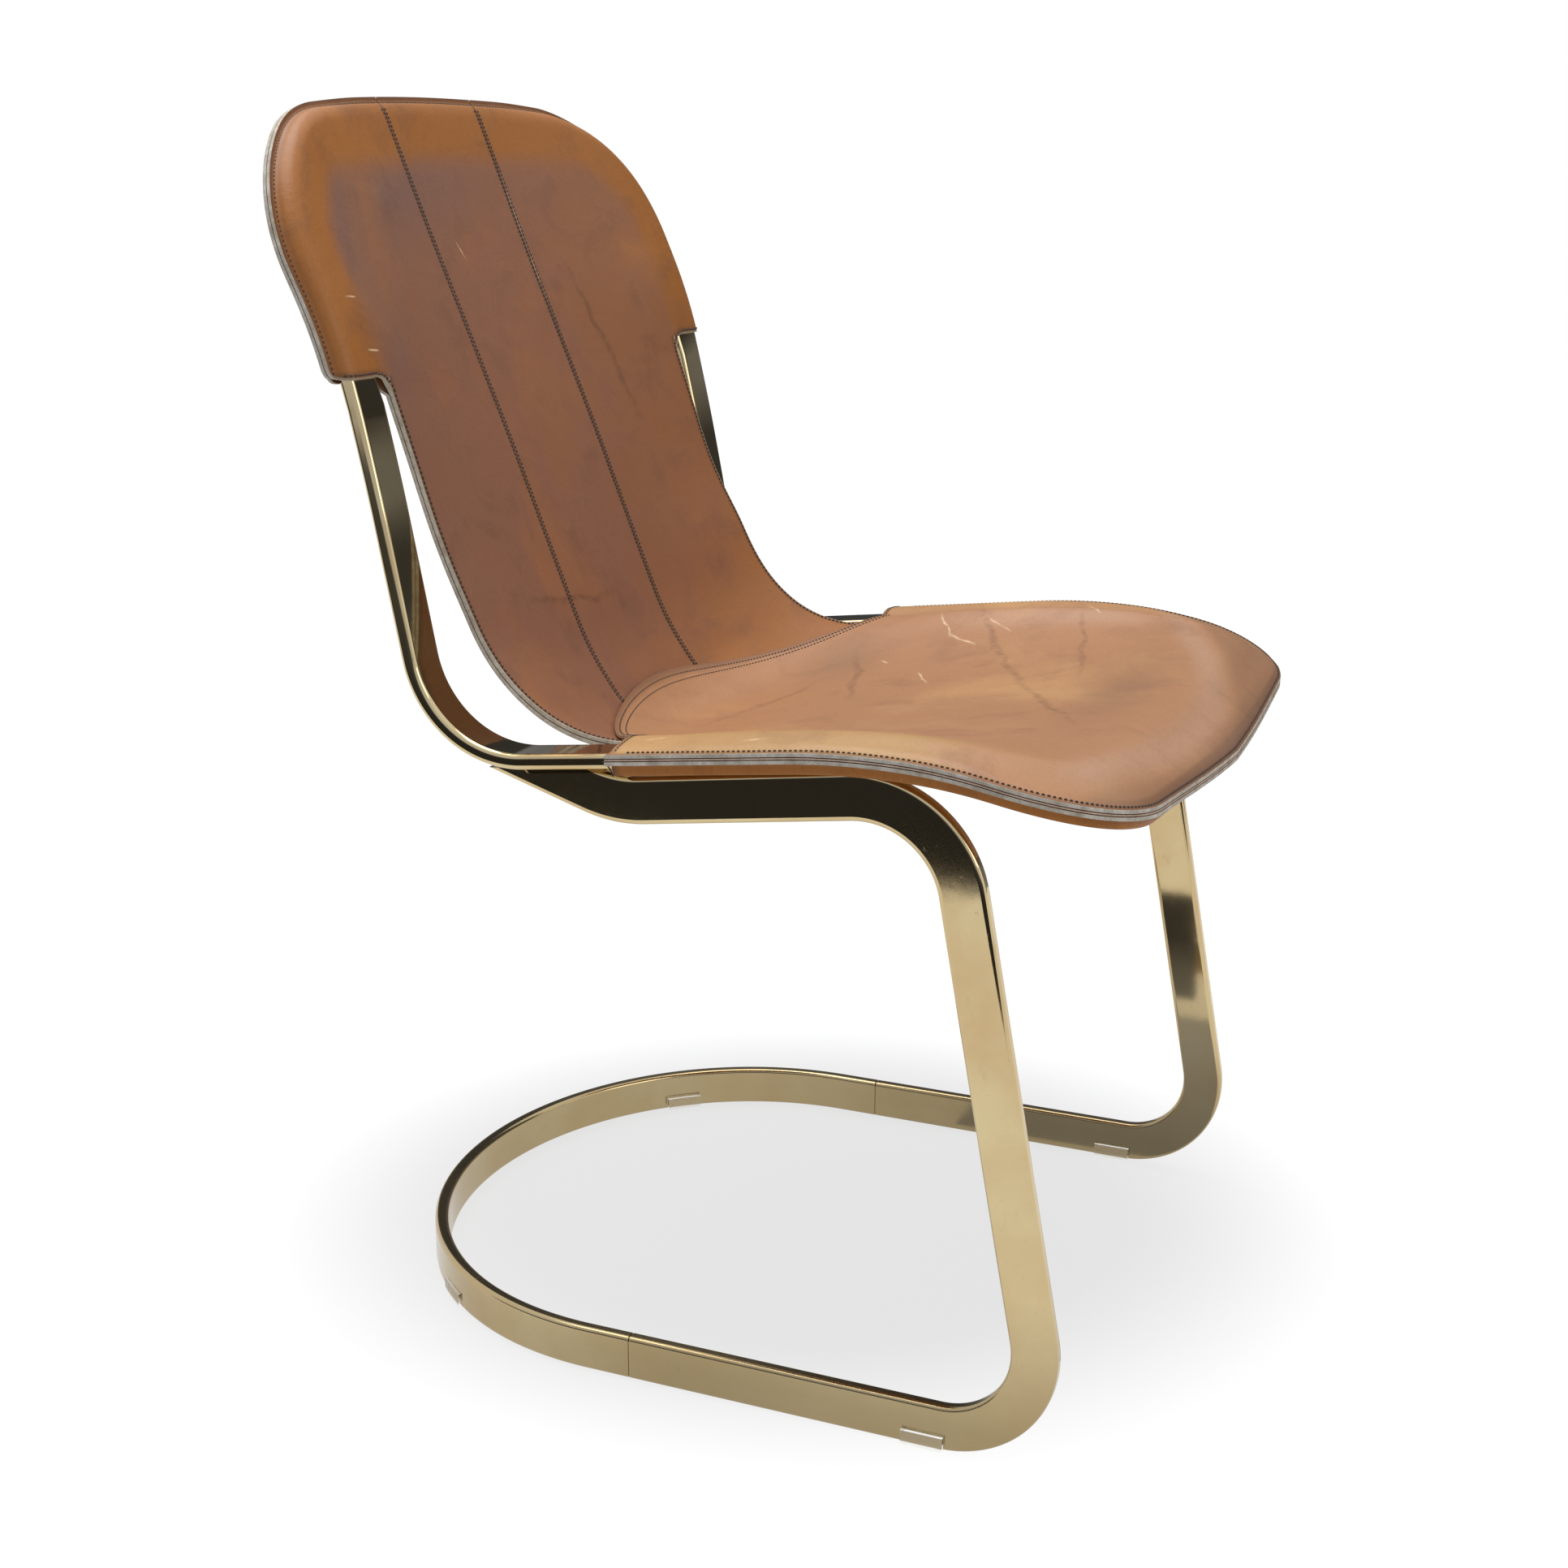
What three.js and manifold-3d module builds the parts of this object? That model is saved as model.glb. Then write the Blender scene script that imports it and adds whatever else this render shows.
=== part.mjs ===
// A cantilever dining chair: a bent flat-tube frame that carries a saddle-leather sling.
// Millimetres, +Z up. The chair faces -Y, its width runs along X, and the sitter's right is -X.
// The floor is z = 0. Heights are above the floor, and a "place" along Y is measured from a
// plane through the middle of the seat, positive towards the back.

import * as THREE from "three";
import { mergeVertices } from "three/addons/utils/BufferGeometryUtils.js";
import Module from "manifold-3d";

const wasm = await Module();
wasm.setup();

// SIZES
// Shared by all pieces
const clearance = 0.3; // between pieces that touch
const overrun = 5; // how far a cutter runs past what it cuts

// Flat tube, the stock of the whole frame
const tubeWidth = 30;
const tubeThickness = 10;
const tubeWall = 1.5;
const tubeEdgeRadius = 3;
const spigotLength = 60;

// Base: a loop on the floor, two leaning legs and two bars under the rails
const floorGap = 2; // the glides' sole lifts the tube by this much
const kneeReach = 92.2; // from the start of the rails' curve forwards to the knee's corner
const legLeanDegrees = 10.5;
const footBendRadius = 60;
const kneeBendRadius = 65;
const barFallDegrees = 7.5; // the under-seat bar falls towards the back
const barGap = 8.4; // between the bar and the rail, over the tail's corner
const tailPlace = 98.7; // where the bar's and the tail's centre lines cross
const tailBendRadius = 65;
const tailRiseDegrees = 60;
const tailLength = 60;
const arcPlace = 95; // where the runners end and the rear arc starts
const arcDepth = 215;
const baseJointPlace = 64;

// Upper ring: rails, front loop, uprights and arch of the same tube
const ringWidth = 490;
const railFallDegrees = 6.5;
const heelPlace = 189.8; // where the rail's and the upright's centre lines cross
const heelHeight = 411.7;
const heelBendRadius = 71;
const uprightLeanDegrees = 10.9;
const uprightLength = 265; // from the heel's crossing to the back bend's crossing
const backBendRadius = 310;
const backLeanDegrees = 23.5;
const archRise = 123.1; // from the back bend's crossing to the arch's centre line at mid width
const archCornerRadius = 86;
const archCrown = 6;
const waterfallPlace = -55; // where the rails start to curve down to the front
const waterfallRadius = 460;
const loopFrontPlace = -235;
const loopCornerRadius = 68;
const loopBow = 6;
const ringJointPlace = 24;

// Weld bead round the end of each under-seat bar
const weldBead = 3;

// Glides: U-shaped clips under the base
const glideLength = 28;
const glideHeight = 12;
const frontGlideReach = 82; // from the foot's corner back to the front glide's middle
const rearGlideShare = 0.42; // of the way from the arc's start to its middle

// Leather
const leather = 2.6;
const flange = 6.7; // sewn edge outside the tube
const slingInset = 10; // from the uprights' inner edges to the sling's edges
const seamPlace = 61; // each upright seam's distance from mid width
const seamGap = 0.6; // open line of a butt seam
const topFlangeDepth = 2.7; // the flange's depth behind the sitting face at the top's middle
const pocketMouthDrop = 23.9; // under the back bend's crossing
const pocketMouthRadius = 12;
const pocketTipRadius = 8;
const backTopRise = 28; // leather's top edge over the arch's centre line

// Profile of the sling at mid width, from the top down
const slingLeanDegrees = 21.6;
const lumbarInset = 16; // in front of the heel's crossing
const lumbarRise = 37.7; // over the heel's crossing
const lumbarRadius = 200;
const hollowInset = 55.8; // in front of the heel's crossing
const hollowDrop = 21.7; // under the heel's crossing
const hollowRadius = 60;
const seatLoft = 3; // the seat's leather stands this far over the rails
const frontLoft = 7; // and this far over the front tube
const crestInset = 7; // front crest's distance behind the front tube's inner edge

// Profile of the sling's edge below the pocket
const slingEdgeLeanDegrees = 16.5;
const slingEdgeKneeRise = 136.3; // over the heel's crossing
const slingEdgeKneeRadius = 400;
const slingEdgeLowLeanDegrees = 25.5;
const slingEdgeRadius = 110;
const slingMouthRadius = 100;

// Seat pocket
const seatRearPlace = 60; // rear end of the pocket at its sides
const seatTongue = 92; // how far its middle reaches up the sling
const seatOverlap = 16; // sling under the tongue
const seatFlange = 11.5; // sewn edge outside the ring
const seatFlangeRise = 2.8; // the flange's top stands this far over the rails
const cornerDroop = 2.2; // fall of the flange round the front corners
const frontDroop = 8; // further fall of the flange at the middle of the front
const frontTuck = 7; // the drooping flange reaches this much less far forwards
const welt = 1.2;
const frontBelly = 5; // the lower panel hangs this far under the front tube
const seatBelly = 10; // hollow between the sitting face and the lower panel

// Sampling of the bent lines
const edgeSteps = 2;
const bendStepDegrees = 9;
const longestStep = 30;
const mergeReach = 0.0001; // points closer than this are one
const searchReach = 0.0003; // how closely a length on the sitting face is found

// HELPERS
const radians = THREE.MathUtils.degToRad;
const lerp = THREE.MathUtils.lerp;
const clamp = THREE.MathUtils.clamp;
const smooth = (x, a, b) => THREE.MathUtils.smoothstep(x, a, b);
const vec = (x, y, z) => new THREE.Vector3(x, y, z);
const xAxis = vec(1, 0, 0);
const zAxis = vec(0, 0, 1);
const halfSection = tubeThickness / 2;
const railX = ringWidth / 2 - tubeWidth / 2;
const runnerZ = floorGap + tubeWidth / 2;
const cutterReach = 2 * ringWidth; // beyond every piece on all sides

// Heading of a line in the Y-Z plane, as an angle over +Y.
const heading = (degrees) => new THREE.Vector2(Math.cos(radians(degrees)), Math.sin(radians(degrees)));

// Crossing of two lines, each given by a point and a heading.
function crossing(p, a, q, b) {
  const d = a.x * b.y - a.y * b.x;
  const t = ((q.x - p.x) * b.y - (q.y - p.y) * b.x) / d;
  return p.clone().addScaledVector(a, t);
}

// Rounds the inner corners of a polyline to the radii given. Each arc gets a point for every
// bendStepDegrees of its turn.
function roundedLine(corners, radii) {
  const out = [corners[0].clone()];
  corners.slice(1, -1).forEach((corner, i) => {
    const a = corners[i].clone().sub(corner).normalize();
    const b = corners[i + 2].clone().sub(corner).normalize();
    const half = Math.acos(clamp(a.dot(b), -1, 1)) / 2;
    const radius = radii[i];
    const centre = a.clone().add(b).normalize().multiplyScalar(radius / Math.sin(half)).add(corner);
    const start = a.clone().multiplyScalar(radius / Math.tan(half)).add(corner).sub(centre);
    const turn = Math.PI - 2 * half;
    const side = Math.sign(a.x * b.y - a.y * b.x);
    const steps = Math.ceil(Math.max(turn / radians(bendStepDegrees), (turn * radius) / longestStep));
    for (let k = 0; k <= steps; k++) {
      const angle = (-side * turn * k) / steps;
      out.push(start.clone().rotateAround(new THREE.Vector2(), angle).add(centre));
    }
  });
  out.push(corners.at(-1).clone());
  return out;
}

// A polyline that can be asked for its point at a length, or for y at a height.
class Track {
  constructor(points) {
    this.points = points;
    this.lengths = [0];
    points.slice(1).forEach((p, i) => this.lengths.push(this.lengths[i] + p.distanceTo(points[i])));
    this.length = this.lengths.at(-1);
  }
  at(length) {
    const s = clamp(length, 0, this.length);
    let i = this.lengths.findIndex((l) => l >= s);
    i = Math.max(1, i);
    const share = (s - this.lengths[i - 1]) / (this.lengths[i] - this.lengths[i - 1]);
    return this.points[i - 1].clone().lerp(this.points[i], share);
  }
  lengthAtHeight(z) {
    const i = this.points.findIndex((p, k) => k > 0 && (p.y - z) * (this.points[k - 1].y - z) <= 0);
    const a = this.points[i - 1];
    const b = this.points[i];
    return this.lengths[i - 1] + ((z - a.y) / (b.y - a.y)) * (this.lengths[i] - this.lengths[i - 1]);
  }
}

// Direction of a closed or open run of stations at index i.
function direction(points, i) {
  const a = points[Math.max(0, i - 1)];
  const b = points[Math.min(points.length - 1, i + 1)];
  return b.clone().sub(a).normalize();
}

// Rounded rectangle about the origin, as a list of points that runs anticlockwise.
function roundedRectangle(width, height, radius, steps) {
  const out = [];
  [[1, 1], [-1, 1], [-1, -1], [1, -1]].forEach(([sx, sy], corner) => {
    for (let k = 0; k <= steps; k++) {
      const angle = (Math.PI / 2) * (corner + k / Math.max(1, steps));
      out.push(new THREE.Vector2(
        sx * (width / 2 - radius) + radius * Math.cos(angle),
        sy * (height / 2 - radius) + radius * Math.sin(angle),
      ));
      if (steps === 0) break;
    }
  });
  return out;
}

// SOLIDS
function geometryOf(positions, triangles) {
  const g = new THREE.BufferGeometry();
  g.setAttribute("position", new THREE.Float32BufferAttribute(positions, 3));
  g.setIndex(triangles);
  return g;
}

function toSolid(geometry) {
  const bare = geometry.clone();
  bare.deleteAttribute("normal");
  bare.deleteAttribute("uv");
  const merged = mergeVertices(bare, mergeReach);
  const triVerts = new Uint32Array(merged.index.array);
  const vertProperties = merged.attributes.position.array;
  let solid = new wasm.Manifold(new wasm.Mesh({ numProp: 3, vertProperties, triVerts }));
  if (solid.volume() < 0) {
    for (let i = 0; i < triVerts.length; i += 3) {
      [triVerts[i + 1], triVerts[i + 2]] = [triVerts[i + 2], triVerts[i + 1]];
    }
    solid = new wasm.Manifold(new wasm.Mesh({ numProp: 3, vertProperties, triVerts }));
  }
  return solid;
}

function toGeometry(solid) {
  const mesh = solid.getMesh();
  const positions = [];
  for (let i = 0; i < mesh.numVert; i++) {
    positions.push(...mesh.vertProperties.subarray(i * mesh.numProp, i * mesh.numProp + 3));
  }
  return geometryOf(positions, Array.from(mesh.triVerts));
}

// A section carried along stations. Each station has a point and the directions of the
// section's two axes. A bore is a second section that leaves both ends open.
function sweep(stations, profile, bore) {
  const outline = THREE.ShapeUtils.isClockWise(profile) ? [...profile].reverse() : profile;
  const rings = bore ? [outline, bore] : [outline];
  const positions = [];
  const triangles = [];
  const place = (s, p) => s.at.clone().addScaledVector(s.across, p.x).addScaledVector(s.up, p.y);
  const starts = rings.map((ring) => {
    const start = positions.length / 3;
    stations.forEach((s) => ring.forEach((p) => positions.push(...place(s, p).toArray())));
    return start;
  });
  rings.forEach((ring, r) => {
    const n = ring.length;
    for (let i = 0; i + 1 < stations.length; i++) {
      for (let k = 0; k < n; k++) {
        const a = starts[r] + i * n + k;
        const b = starts[r] + i * n + ((k + 1) % n);
        const quad = r ? [a, a + n, b, b, a + n, b + n] : [a, b, a + n, b, b + n, a + n];
        triangles.push(...quad);
      }
    }
  });
  const cap = THREE.ShapeUtils.triangulateShape(outline, bore ? [bore] : []);
  const capIndex = (k, end) => {
    const r = k < outline.length ? 0 : 1;
    return starts[r] + (end ? (stations.length - 1) * rings[r].length : 0) + k - r * outline.length;
  };
  cap.forEach(([a, b, c]) => {
    triangles.push(capIndex(a, false), capIndex(c, false), capIndex(b, false));
    triangles.push(capIndex(a, true), capIndex(b, true), capIndex(c, true));
  });
  return toSolid(geometryOf(positions, triangles));
}

const tubeOutline = roundedRectangle(tubeWidth, tubeThickness, tubeEdgeRadius, edgeSteps);
const tubeBore = roundedRectangle(tubeWidth - 2 * tubeWall, tubeThickness - 2 * tubeWall, 0, 0);
const spigotOutline = roundedRectangle(
  tubeWidth - 2 * (tubeWall + clearance), tubeThickness - 2 * (tubeWall + clearance), 0, 0);

// A block that covers a polygon drawn in the plane of axes a and b, and runs along the third.
function prism(points, toWorld, from, to) {
  const shape = new THREE.Shape(points);
  const g = new THREE.ExtrudeGeometry(shape, { depth: to - from, bevelEnabled: false, steps: 1 });
  const p = g.attributes.position;
  for (let i = 0; i < p.count; i++) {
    const w = toWorld(p.getX(i), p.getY(i), from + p.getZ(i));
    p.setXYZ(i, w.x, w.y, w.z);
  }
  return toSolid(g);
}

// LINES OF THE FRAME
// Height of the ring's centre line at a place along the rail or the front loop.
const railSlope = Math.tan(radians(railFallDegrees));
function railHeight(place) {
  const straight = heelHeight + (heelPlace - Math.max(place, waterfallPlace)) * railSlope;
  if (place >= waterfallPlace) return straight;
  const start = radians(railFallDegrees);
  const sine = Math.sin(start) - (waterfallPlace - place) / waterfallRadius;
  return straight + waterfallRadius * (Math.sqrt(1 - sine * sine) - Math.cos(start));
}
const railNormal = (place) => {
  const h = tubeThickness;
  const rise = (railHeight(place + h) - railHeight(place - h)) / (2 * h);
  return vec(0, -rise, 1).normalize();
};

// Side frame of the base, in (place, height): runner, leg, under-seat bar and upturned tail.
// The bar keeps its gap under the rail, and the leg comes down from the bar's front end.
const barDrop = halfSection + barGap + tubeWidth / 2;
const tailCorner = new THREE.Vector2(tailPlace, railHeight(tailPlace) - barDrop);
const upperCorner = crossing(
  new THREE.Vector2(waterfallPlace - kneeReach, 0), heading(90), tailCorner, heading(-barFallDegrees));
const baseCorner = crossing(
  upperCorner, heading(90 - legLeanDegrees), new THREE.Vector2(0, runnerZ), heading(0));
const tailEnd = heading(tailRiseDegrees).multiplyScalar(tailLength).add(tailCorner);
const sideLine = roundedLine(
  [new THREE.Vector2(baseJointPlace, runnerZ), baseCorner, upperCorner, tailCorner, tailEnd],
  [footBendRadius, kneeBendRadius, tailBendRadius],
);

// Upright, in (place, height), from the heel's crossing to far above the arch.
const heel = new THREE.Vector2(heelPlace, heelHeight);
const backBend = heading(90 - uprightLeanDegrees).multiplyScalar(uprightLength).add(heel);
const archHeight = backBend.y + archRise;
const backTopHeight = archHeight + backTopRise;
const pocketMouthHeight = backBend.y - pocketMouthDrop;
const slingEdgeKneeHeight = heelHeight + slingEdgeKneeRise;
const uprightTop = heading(90 - backLeanDegrees).multiplyScalar(archHeight - heelHeight).add(backBend);
const backNormal = heading(-backLeanDegrees); // points out of the back's rear face

// THE LEATHER'S SITTING FACE
// The sitting face is drawn between two lines in (place, height): one at mid width and one over
// the rails and uprights. Between them a cross-section is a parabola. Both lines start at the
// top of the back and end at the front of the seat.
const skin = leather + clearance;
const faceOverTube = halfSection + skin + clearance;
const innerX = ringWidth / 2 - tubeWidth;
const loopFrontAtMiddle = loopFrontPlace - loopBow;
const crestPlace = loopFrontAtMiddle + tubeWidth / 2 - clearance + crestInset;
const loft = (place) =>
  lerp(seatLoft, frontLoft, smooth(-place, -waterfallPlace, -loopFrontPlace));
const overRailHeight = (place) => railHeight(place) + halfSection + loft(place);
const crestHeight = overRailHeight(crestPlace);

const lumbar = new THREE.Vector2(heelPlace - lumbarInset, heelHeight + lumbarRise);
const hollow = new THREE.Vector2(heelPlace - hollowInset, heelHeight - hollowDrop);
const middleTop = lumbar.clone().addScaledVector(
  heading(90 - slingLeanDegrees), (backTopHeight - lumbar.y) / Math.cos(radians(slingLeanDegrees)));
const middleLine = new Track(roundedLine(
  [middleTop, lumbar, hollow, new THREE.Vector2(crestPlace, crestHeight)],
  [lumbarRadius, hollowRadius],
));

const edgeBend = backBend.clone().addScaledVector(backNormal, -faceOverTube);
const edgeTop = edgeBend.clone().addScaledVector(
  heading(90 - backLeanDegrees), (backTopHeight - edgeBend.y) / Math.cos(radians(backLeanDegrees)));
const tangent = (radius, turnDegrees) => radius * Math.tan(radians(turnDegrees) / 2);
const edgeMouth = edgeBend.clone().addScaledVector(
  heading(90 - uprightLeanDegrees),
  -tangent(backBendRadius + faceOverTube, backLeanDegrees - uprightLeanDegrees)
    - tangent(slingMouthRadius, slingEdgeLeanDegrees - uprightLeanDegrees));
const edgeKnee = edgeMouth.clone().addScaledVector(
  heading(90 - slingEdgeLeanDegrees),
  (slingEdgeKneeHeight - edgeMouth.y) / Math.cos(radians(slingEdgeLeanDegrees)));
const loftedRail = new THREE.Vector2(heelPlace, heelHeight + halfSection + seatLoft);
const edgeFoot = crossing(
  edgeKnee, heading(90 - slingEdgeLowLeanDegrees), loftedRail, heading(-railFallDegrees));
const edgeFront = [];
const waterfallSteps = 10;
for (let k = 0; k <= waterfallSteps; k++) {
  const place = lerp(waterfallPlace, crestPlace, k / waterfallSteps);
  edgeFront.push(new THREE.Vector2(place, overRailHeight(place)));
}
const edgeLine = new Track([
  ...roundedLine(
    [edgeTop, edgeBend, edgeMouth, edgeKnee, edgeFoot, edgeFront[0]],
    [backBendRadius + faceOverTube, slingMouthRadius, slingEdgeKneeRadius, slingEdgeRadius],
  ).slice(0, -1),
  ...edgeFront,
]);

// Down to the pocket's mouth both lines are read at the same height. Below it they are read at
// the same share of what is left.
const middleMouth = middleLine.lengthAtHeight(pocketMouthHeight);
const edgeMouthLength = edgeLine.lengthAtHeight(pocketMouthHeight);
function linePair(s) {
  if (s <= middleMouth) {
    const share = s / middleMouth;
    return [middleLine.at(s), edgeLine.at(share * edgeMouthLength)];
  }
  const share = (s - middleMouth) / (middleLine.length - middleMouth);
  return [middleLine.at(s), edgeLine.at(lerp(edgeMouthLength, edgeLine.length, share))];
}

// Share of the hollow's depth at x. A parabola that runs out smoothly over the tube.
const hollowBlend = 0.85;
function hollowShare(x) {
  const u = Math.abs(x) / innerX;
  if (u < hollowBlend) return 1 - u * u;
  const rest = Math.max(0, 1 / hollowBlend - u);
  return (rest * rest) / (1 / hollowBlend ** 2 - 1);
}

// Point of the sitting face at x and at a length s down the middle line.
function face(x, s) {
  const [middle, edge] = linePair(s);
  const share = hollowShare(x);
  const p = edge.lerp(middle, share);
  return vec(x, p.x, p.y);
}
function faceNormal(x, s) {
  const step = tubeThickness;
  const a = face(x + step, s).sub(face(x - step, s));
  const b = face(x, Math.min(s + step, middleLine.length)).sub(face(x, Math.max(s - step, 0)));
  return a.cross(b).normalize(); // points away from the sitter
}

// Length at which the sitting face comes to a place along Y, for the seat and the sling's end.
function lengthAtPlace(x, place) {
  let low = middleMouth;
  let high = middleLine.length;
  while (high - low > searchReach) {
    const mid = (low + high) / 2;
    if (face(x, mid).y > place) low = mid;
    else high = mid;
  }
  return high;
}
// Height of the sitting face at a point of the plan, and how much longer an upright offset
// has to be there than one along the normal.
const faceHeight = (x, place) =>
  (place <= crestPlace ? overRailHeight(place) : face(x, lengthAtPlace(x, place)).z);
function stretch(x, place) {
  const h = tubeEdgeRadius;
  const gx = (faceHeight(x + h, place) - faceHeight(x - h, place)) / (2 * h);
  const gy = (faceHeight(x, place + h) - faceHeight(x, place - h)) / (2 * h);
  return Math.sqrt(1 + gx * gx + gy * gy);
}

// FRAME PIECES
const brass = () => new THREE.MeshStandardMaterial({ color: 0xc9b478, roughness: 0.22, metalness: 1 });
const steel = () => new THREE.MeshStandardMaterial({ color: 0x8d8f90, roughness: 0.5, metalness: 1 });
const clear = () => new THREE.MeshStandardMaterial({ color: 0xdedbd2, roughness: 0.35, metalness: 0 });
const leatherOf = (color) => new THREE.MeshStandardMaterial({ color, roughness: 0.55, metalness: 0 });

const chair = new THREE.Group();
function add(name, solid, material) {
  const mesh = new THREE.Mesh(toGeometry(solid), material);
  mesh.name = name;
  chair.add(mesh);
  return mesh;
}
const sides = [["right", -1], ["left", 1]];

// Stations along a line in the Y-Z plane at a fixed x. The section's first axis lies in that
// plane where the tube stands on edge, and along X where it lies flat.
function planeStations(line, x, onEdge) {
  return line.map((p, i) => {
    const d = direction(line, i);
    const inPlane = vec(0, -d.y, d.x);
    return onEdge
      ? { at: vec(x, p.x, p.y), across: inPlane, up: xAxis.clone() }
      : { at: vec(x, p.x, p.y), across: xAxis.clone(), up: inPlane };
  });
}

// Everything above the rails' underside, which ends the upturned tails.
const railUnderside = heelHeight - (halfSection + clearance) / Math.cos(radians(railFallDegrees));
function overRail(lower) {
  const reach = heading(-railFallDegrees).multiplyScalar(cutterReach);
  const p = new THREE.Vector2(heelPlace, railUnderside - lower);
  const a = p.clone().sub(reach);
  const b = p.clone().add(reach);
  const above = new THREE.Vector2(0, cutterReach);
  const points = [a, b, b.clone().add(above), a.clone().add(above)];
  return prism(points, (y, z, x) => vec(x, y, z), -cutterReach, cutterReach);
}
const aboveRail = overRail(0);

for (const [name, side] of sides) {
  const stations = planeStations(sideLine, side * railX, true);
  const bar = sweep(stations, tubeOutline, tubeBore).subtract(aboveRail);
  add("base_side_" + name, bar, brass());

  // Weld bead: a collar under the rail round the bar's end
  const grown = roundedRectangle(tubeWidth + 2 * clearance, tubeThickness + 2 * clearance, 0, 0);
  const wide = roundedRectangle(tubeWidth + 2 * weldBead, tubeThickness + 2 * weldBead, weldBead, 1);
  const tail = stations.filter(({ at }) => at.y > 0 && at.z > railUnderside - 2 * tubeWidth);
  const bead = sweep(tail, wide).subtract(sweep(tail, grown));
  const trimmed = bead.subtract(aboveRail).intersect(overRail(weldBead));
  add("weld_" + name, trimmed, brass());
}

// Rear arc on the floor, a half ellipse between the runners
const arcHalf = railX;
const arcReach = arcDepth - halfSection;
const arcPoint = (angle) => vec(arcHalf * Math.cos(angle), arcPlace + arcReach * Math.sin(angle), runnerZ);
const arcPath = [vec(railX, baseJointPlace + clearance, runnerZ)];
const arcSteps = 28;
for (let k = 0; k <= arcSteps; k++) arcPath.push(arcPoint((Math.PI * k) / arcSteps));
arcPath.push(vec(-railX, baseJointPlace + clearance, runnerZ));
const standing = (path) => path.map((at, i) => {
  const d = direction(path, i);
  return { at, across: zAxis.clone(), up: vec(-d.y, d.x, 0) };
});
add("base_rear_arc", sweep(standing(arcPath), tubeOutline, tubeBore), brass());

for (const [name, side] of sides) {
  const ends = [-spigotLength / 2, spigotLength / 2];
  const path = ends.map((y) => vec(side * railX, Math.min(baseJointPlace + y, arcPlace), runnerZ));
  add("base_spigot_" + name, sweep(standing(path), spigotOutline), steel());
}

// Glides: clips that wrap the lower edge of the base
const clipOutline = (() => {
  const inner = halfSection + 2 * clearance;
  const outer = inner + floorGap;
  const bottom = -tubeWidth / 2 - clearance;
  const sole = -tubeWidth / 2 - floorGap;
  const top = sole + glideHeight;
  return [
    [sole, -outer], [sole, outer], [top, outer], [top, inner],
    [bottom, inner], [bottom, -inner], [top, -inner], [top, -outer],
  ].map(([a, b]) => new THREE.Vector2(a, b));
})();
for (const [name, side] of sides) {
  const front = [-glideLength / 2, glideLength / 2]
    .map((y) => vec(side * railX, baseCorner.x + frontGlideReach + y, runnerZ));
  add("glide_front_" + name, sweep(standing(front), clipOutline), clear());
  const turn = (Math.PI / 2) * rearGlideShare;
  const middle = side > 0 ? turn : Math.PI - turn;
  const span = glideLength / arcReach;
  const rear = [];
  const glideSteps = 4;
  for (let k = 0; k <= glideSteps; k++) rear.push(arcPoint(middle + span * (k / glideSteps - 1 / 2)));
  add("glide_rear_" + name, sweep(standing(rear), clipOutline), clear());
}

// Front loop: the rails' front parts and the waterfall front, one tube
const loopPlan = roundedLine(
  [
    new THREE.Vector2(railX, ringJointPlace),
    new THREE.Vector2(railX, loopFrontPlace),
    new THREE.Vector2(-railX, loopFrontPlace),
    new THREE.Vector2(-railX, ringJointPlace),
  ],
  [loopCornerRadius, loopCornerRadius],
);
// Adds points between those of a plan line, so that a curved height can be followed.
function refined(points, longest) {
  const out = [points[0]];
  points.slice(1).forEach((p, i) => {
    const n = Math.ceil(p.distanceTo(points[i]) / longest);
    for (let k = 1; k <= n; k++) out.push(points[i].clone().lerp(p, k / n));
  });
  return out;
}
const bow = (x, half) => Math.max(0, 1 - (x / half) ** 2) ** 2;
function loopStations(plan) {
  const path = plan.map((p) => {
    const y = p.y - (p.y < waterfallPlace ? loopBow * bow(p.x, railX) : 0);
    return vec(p.x, y, railHeight(y));
  });
  return path.map((at, i) => {
    const up = railNormal(at.y);
    const d = direction(path, i);
    up.addScaledVector(d, -up.dot(d)).normalize();
    return { at, across: d.clone().cross(up), up };
  });
}
add("seat_loop", sweep(loopStations(refined(loopPlan, longestStep)), tubeOutline, tubeBore), brass());

// Back arch: rear parts of the rails, uprights and arch, one tube. Its upper part lies behind
// the sitting face at a fixed distance, so the leather fits it.
const archTopLength = middleLine.lengthAtHeight(archHeight);
const archFoot = middleMouth;
const railEnd = ringJointPlace + clearance;
const heelLine = roundedLine(
  [new THREE.Vector2(railEnd, railHeight(railEnd)), heel, backBend, uprightTop],
  [heelBendRadius, backBendRadius],
);
const bendFoot = backBend.y - tangent(backBendRadius, backLeanDegrees - uprightLeanDegrees);
const lowerUpright = heelLine.filter((p) => p.y <= bendFoot + tubeThickness / 2);
const archPlan = roundedLine(
  [
    new THREE.Vector2(railX, archFoot),
    new THREE.Vector2(railX, archTopLength),
    new THREE.Vector2(-railX, archTopLength),
    new THREE.Vector2(-railX, archFoot),
  ],
  [archCornerRadius, archCornerRadius],
);
const crown = (x) => archCrown * (1 - bow(x, railX));
const behindFace = (x, s, depth) => face(x, s).addScaledVector(faceNormal(x, s), depth);
const archPath = refined(archPlan, longestStep).map((p) => {
  const s = p.y + (p.y < archFoot ? crown(p.x) : 0);
  return { at: behindFace(p.x, s, faceOverTube), up: faceNormal(p.x, s) };
});
const lowerPath = (side) => planeStations(lowerUpright, side * railX, false)
  .map(({ at, up }) => ({ at, up: up.multiplyScalar(-1) }));
const ringPath = [...lowerPath(1), ...archPath, ...lowerPath(-1).reverse()];
const ringPoints = ringPath.map((s) => s.at);
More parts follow.
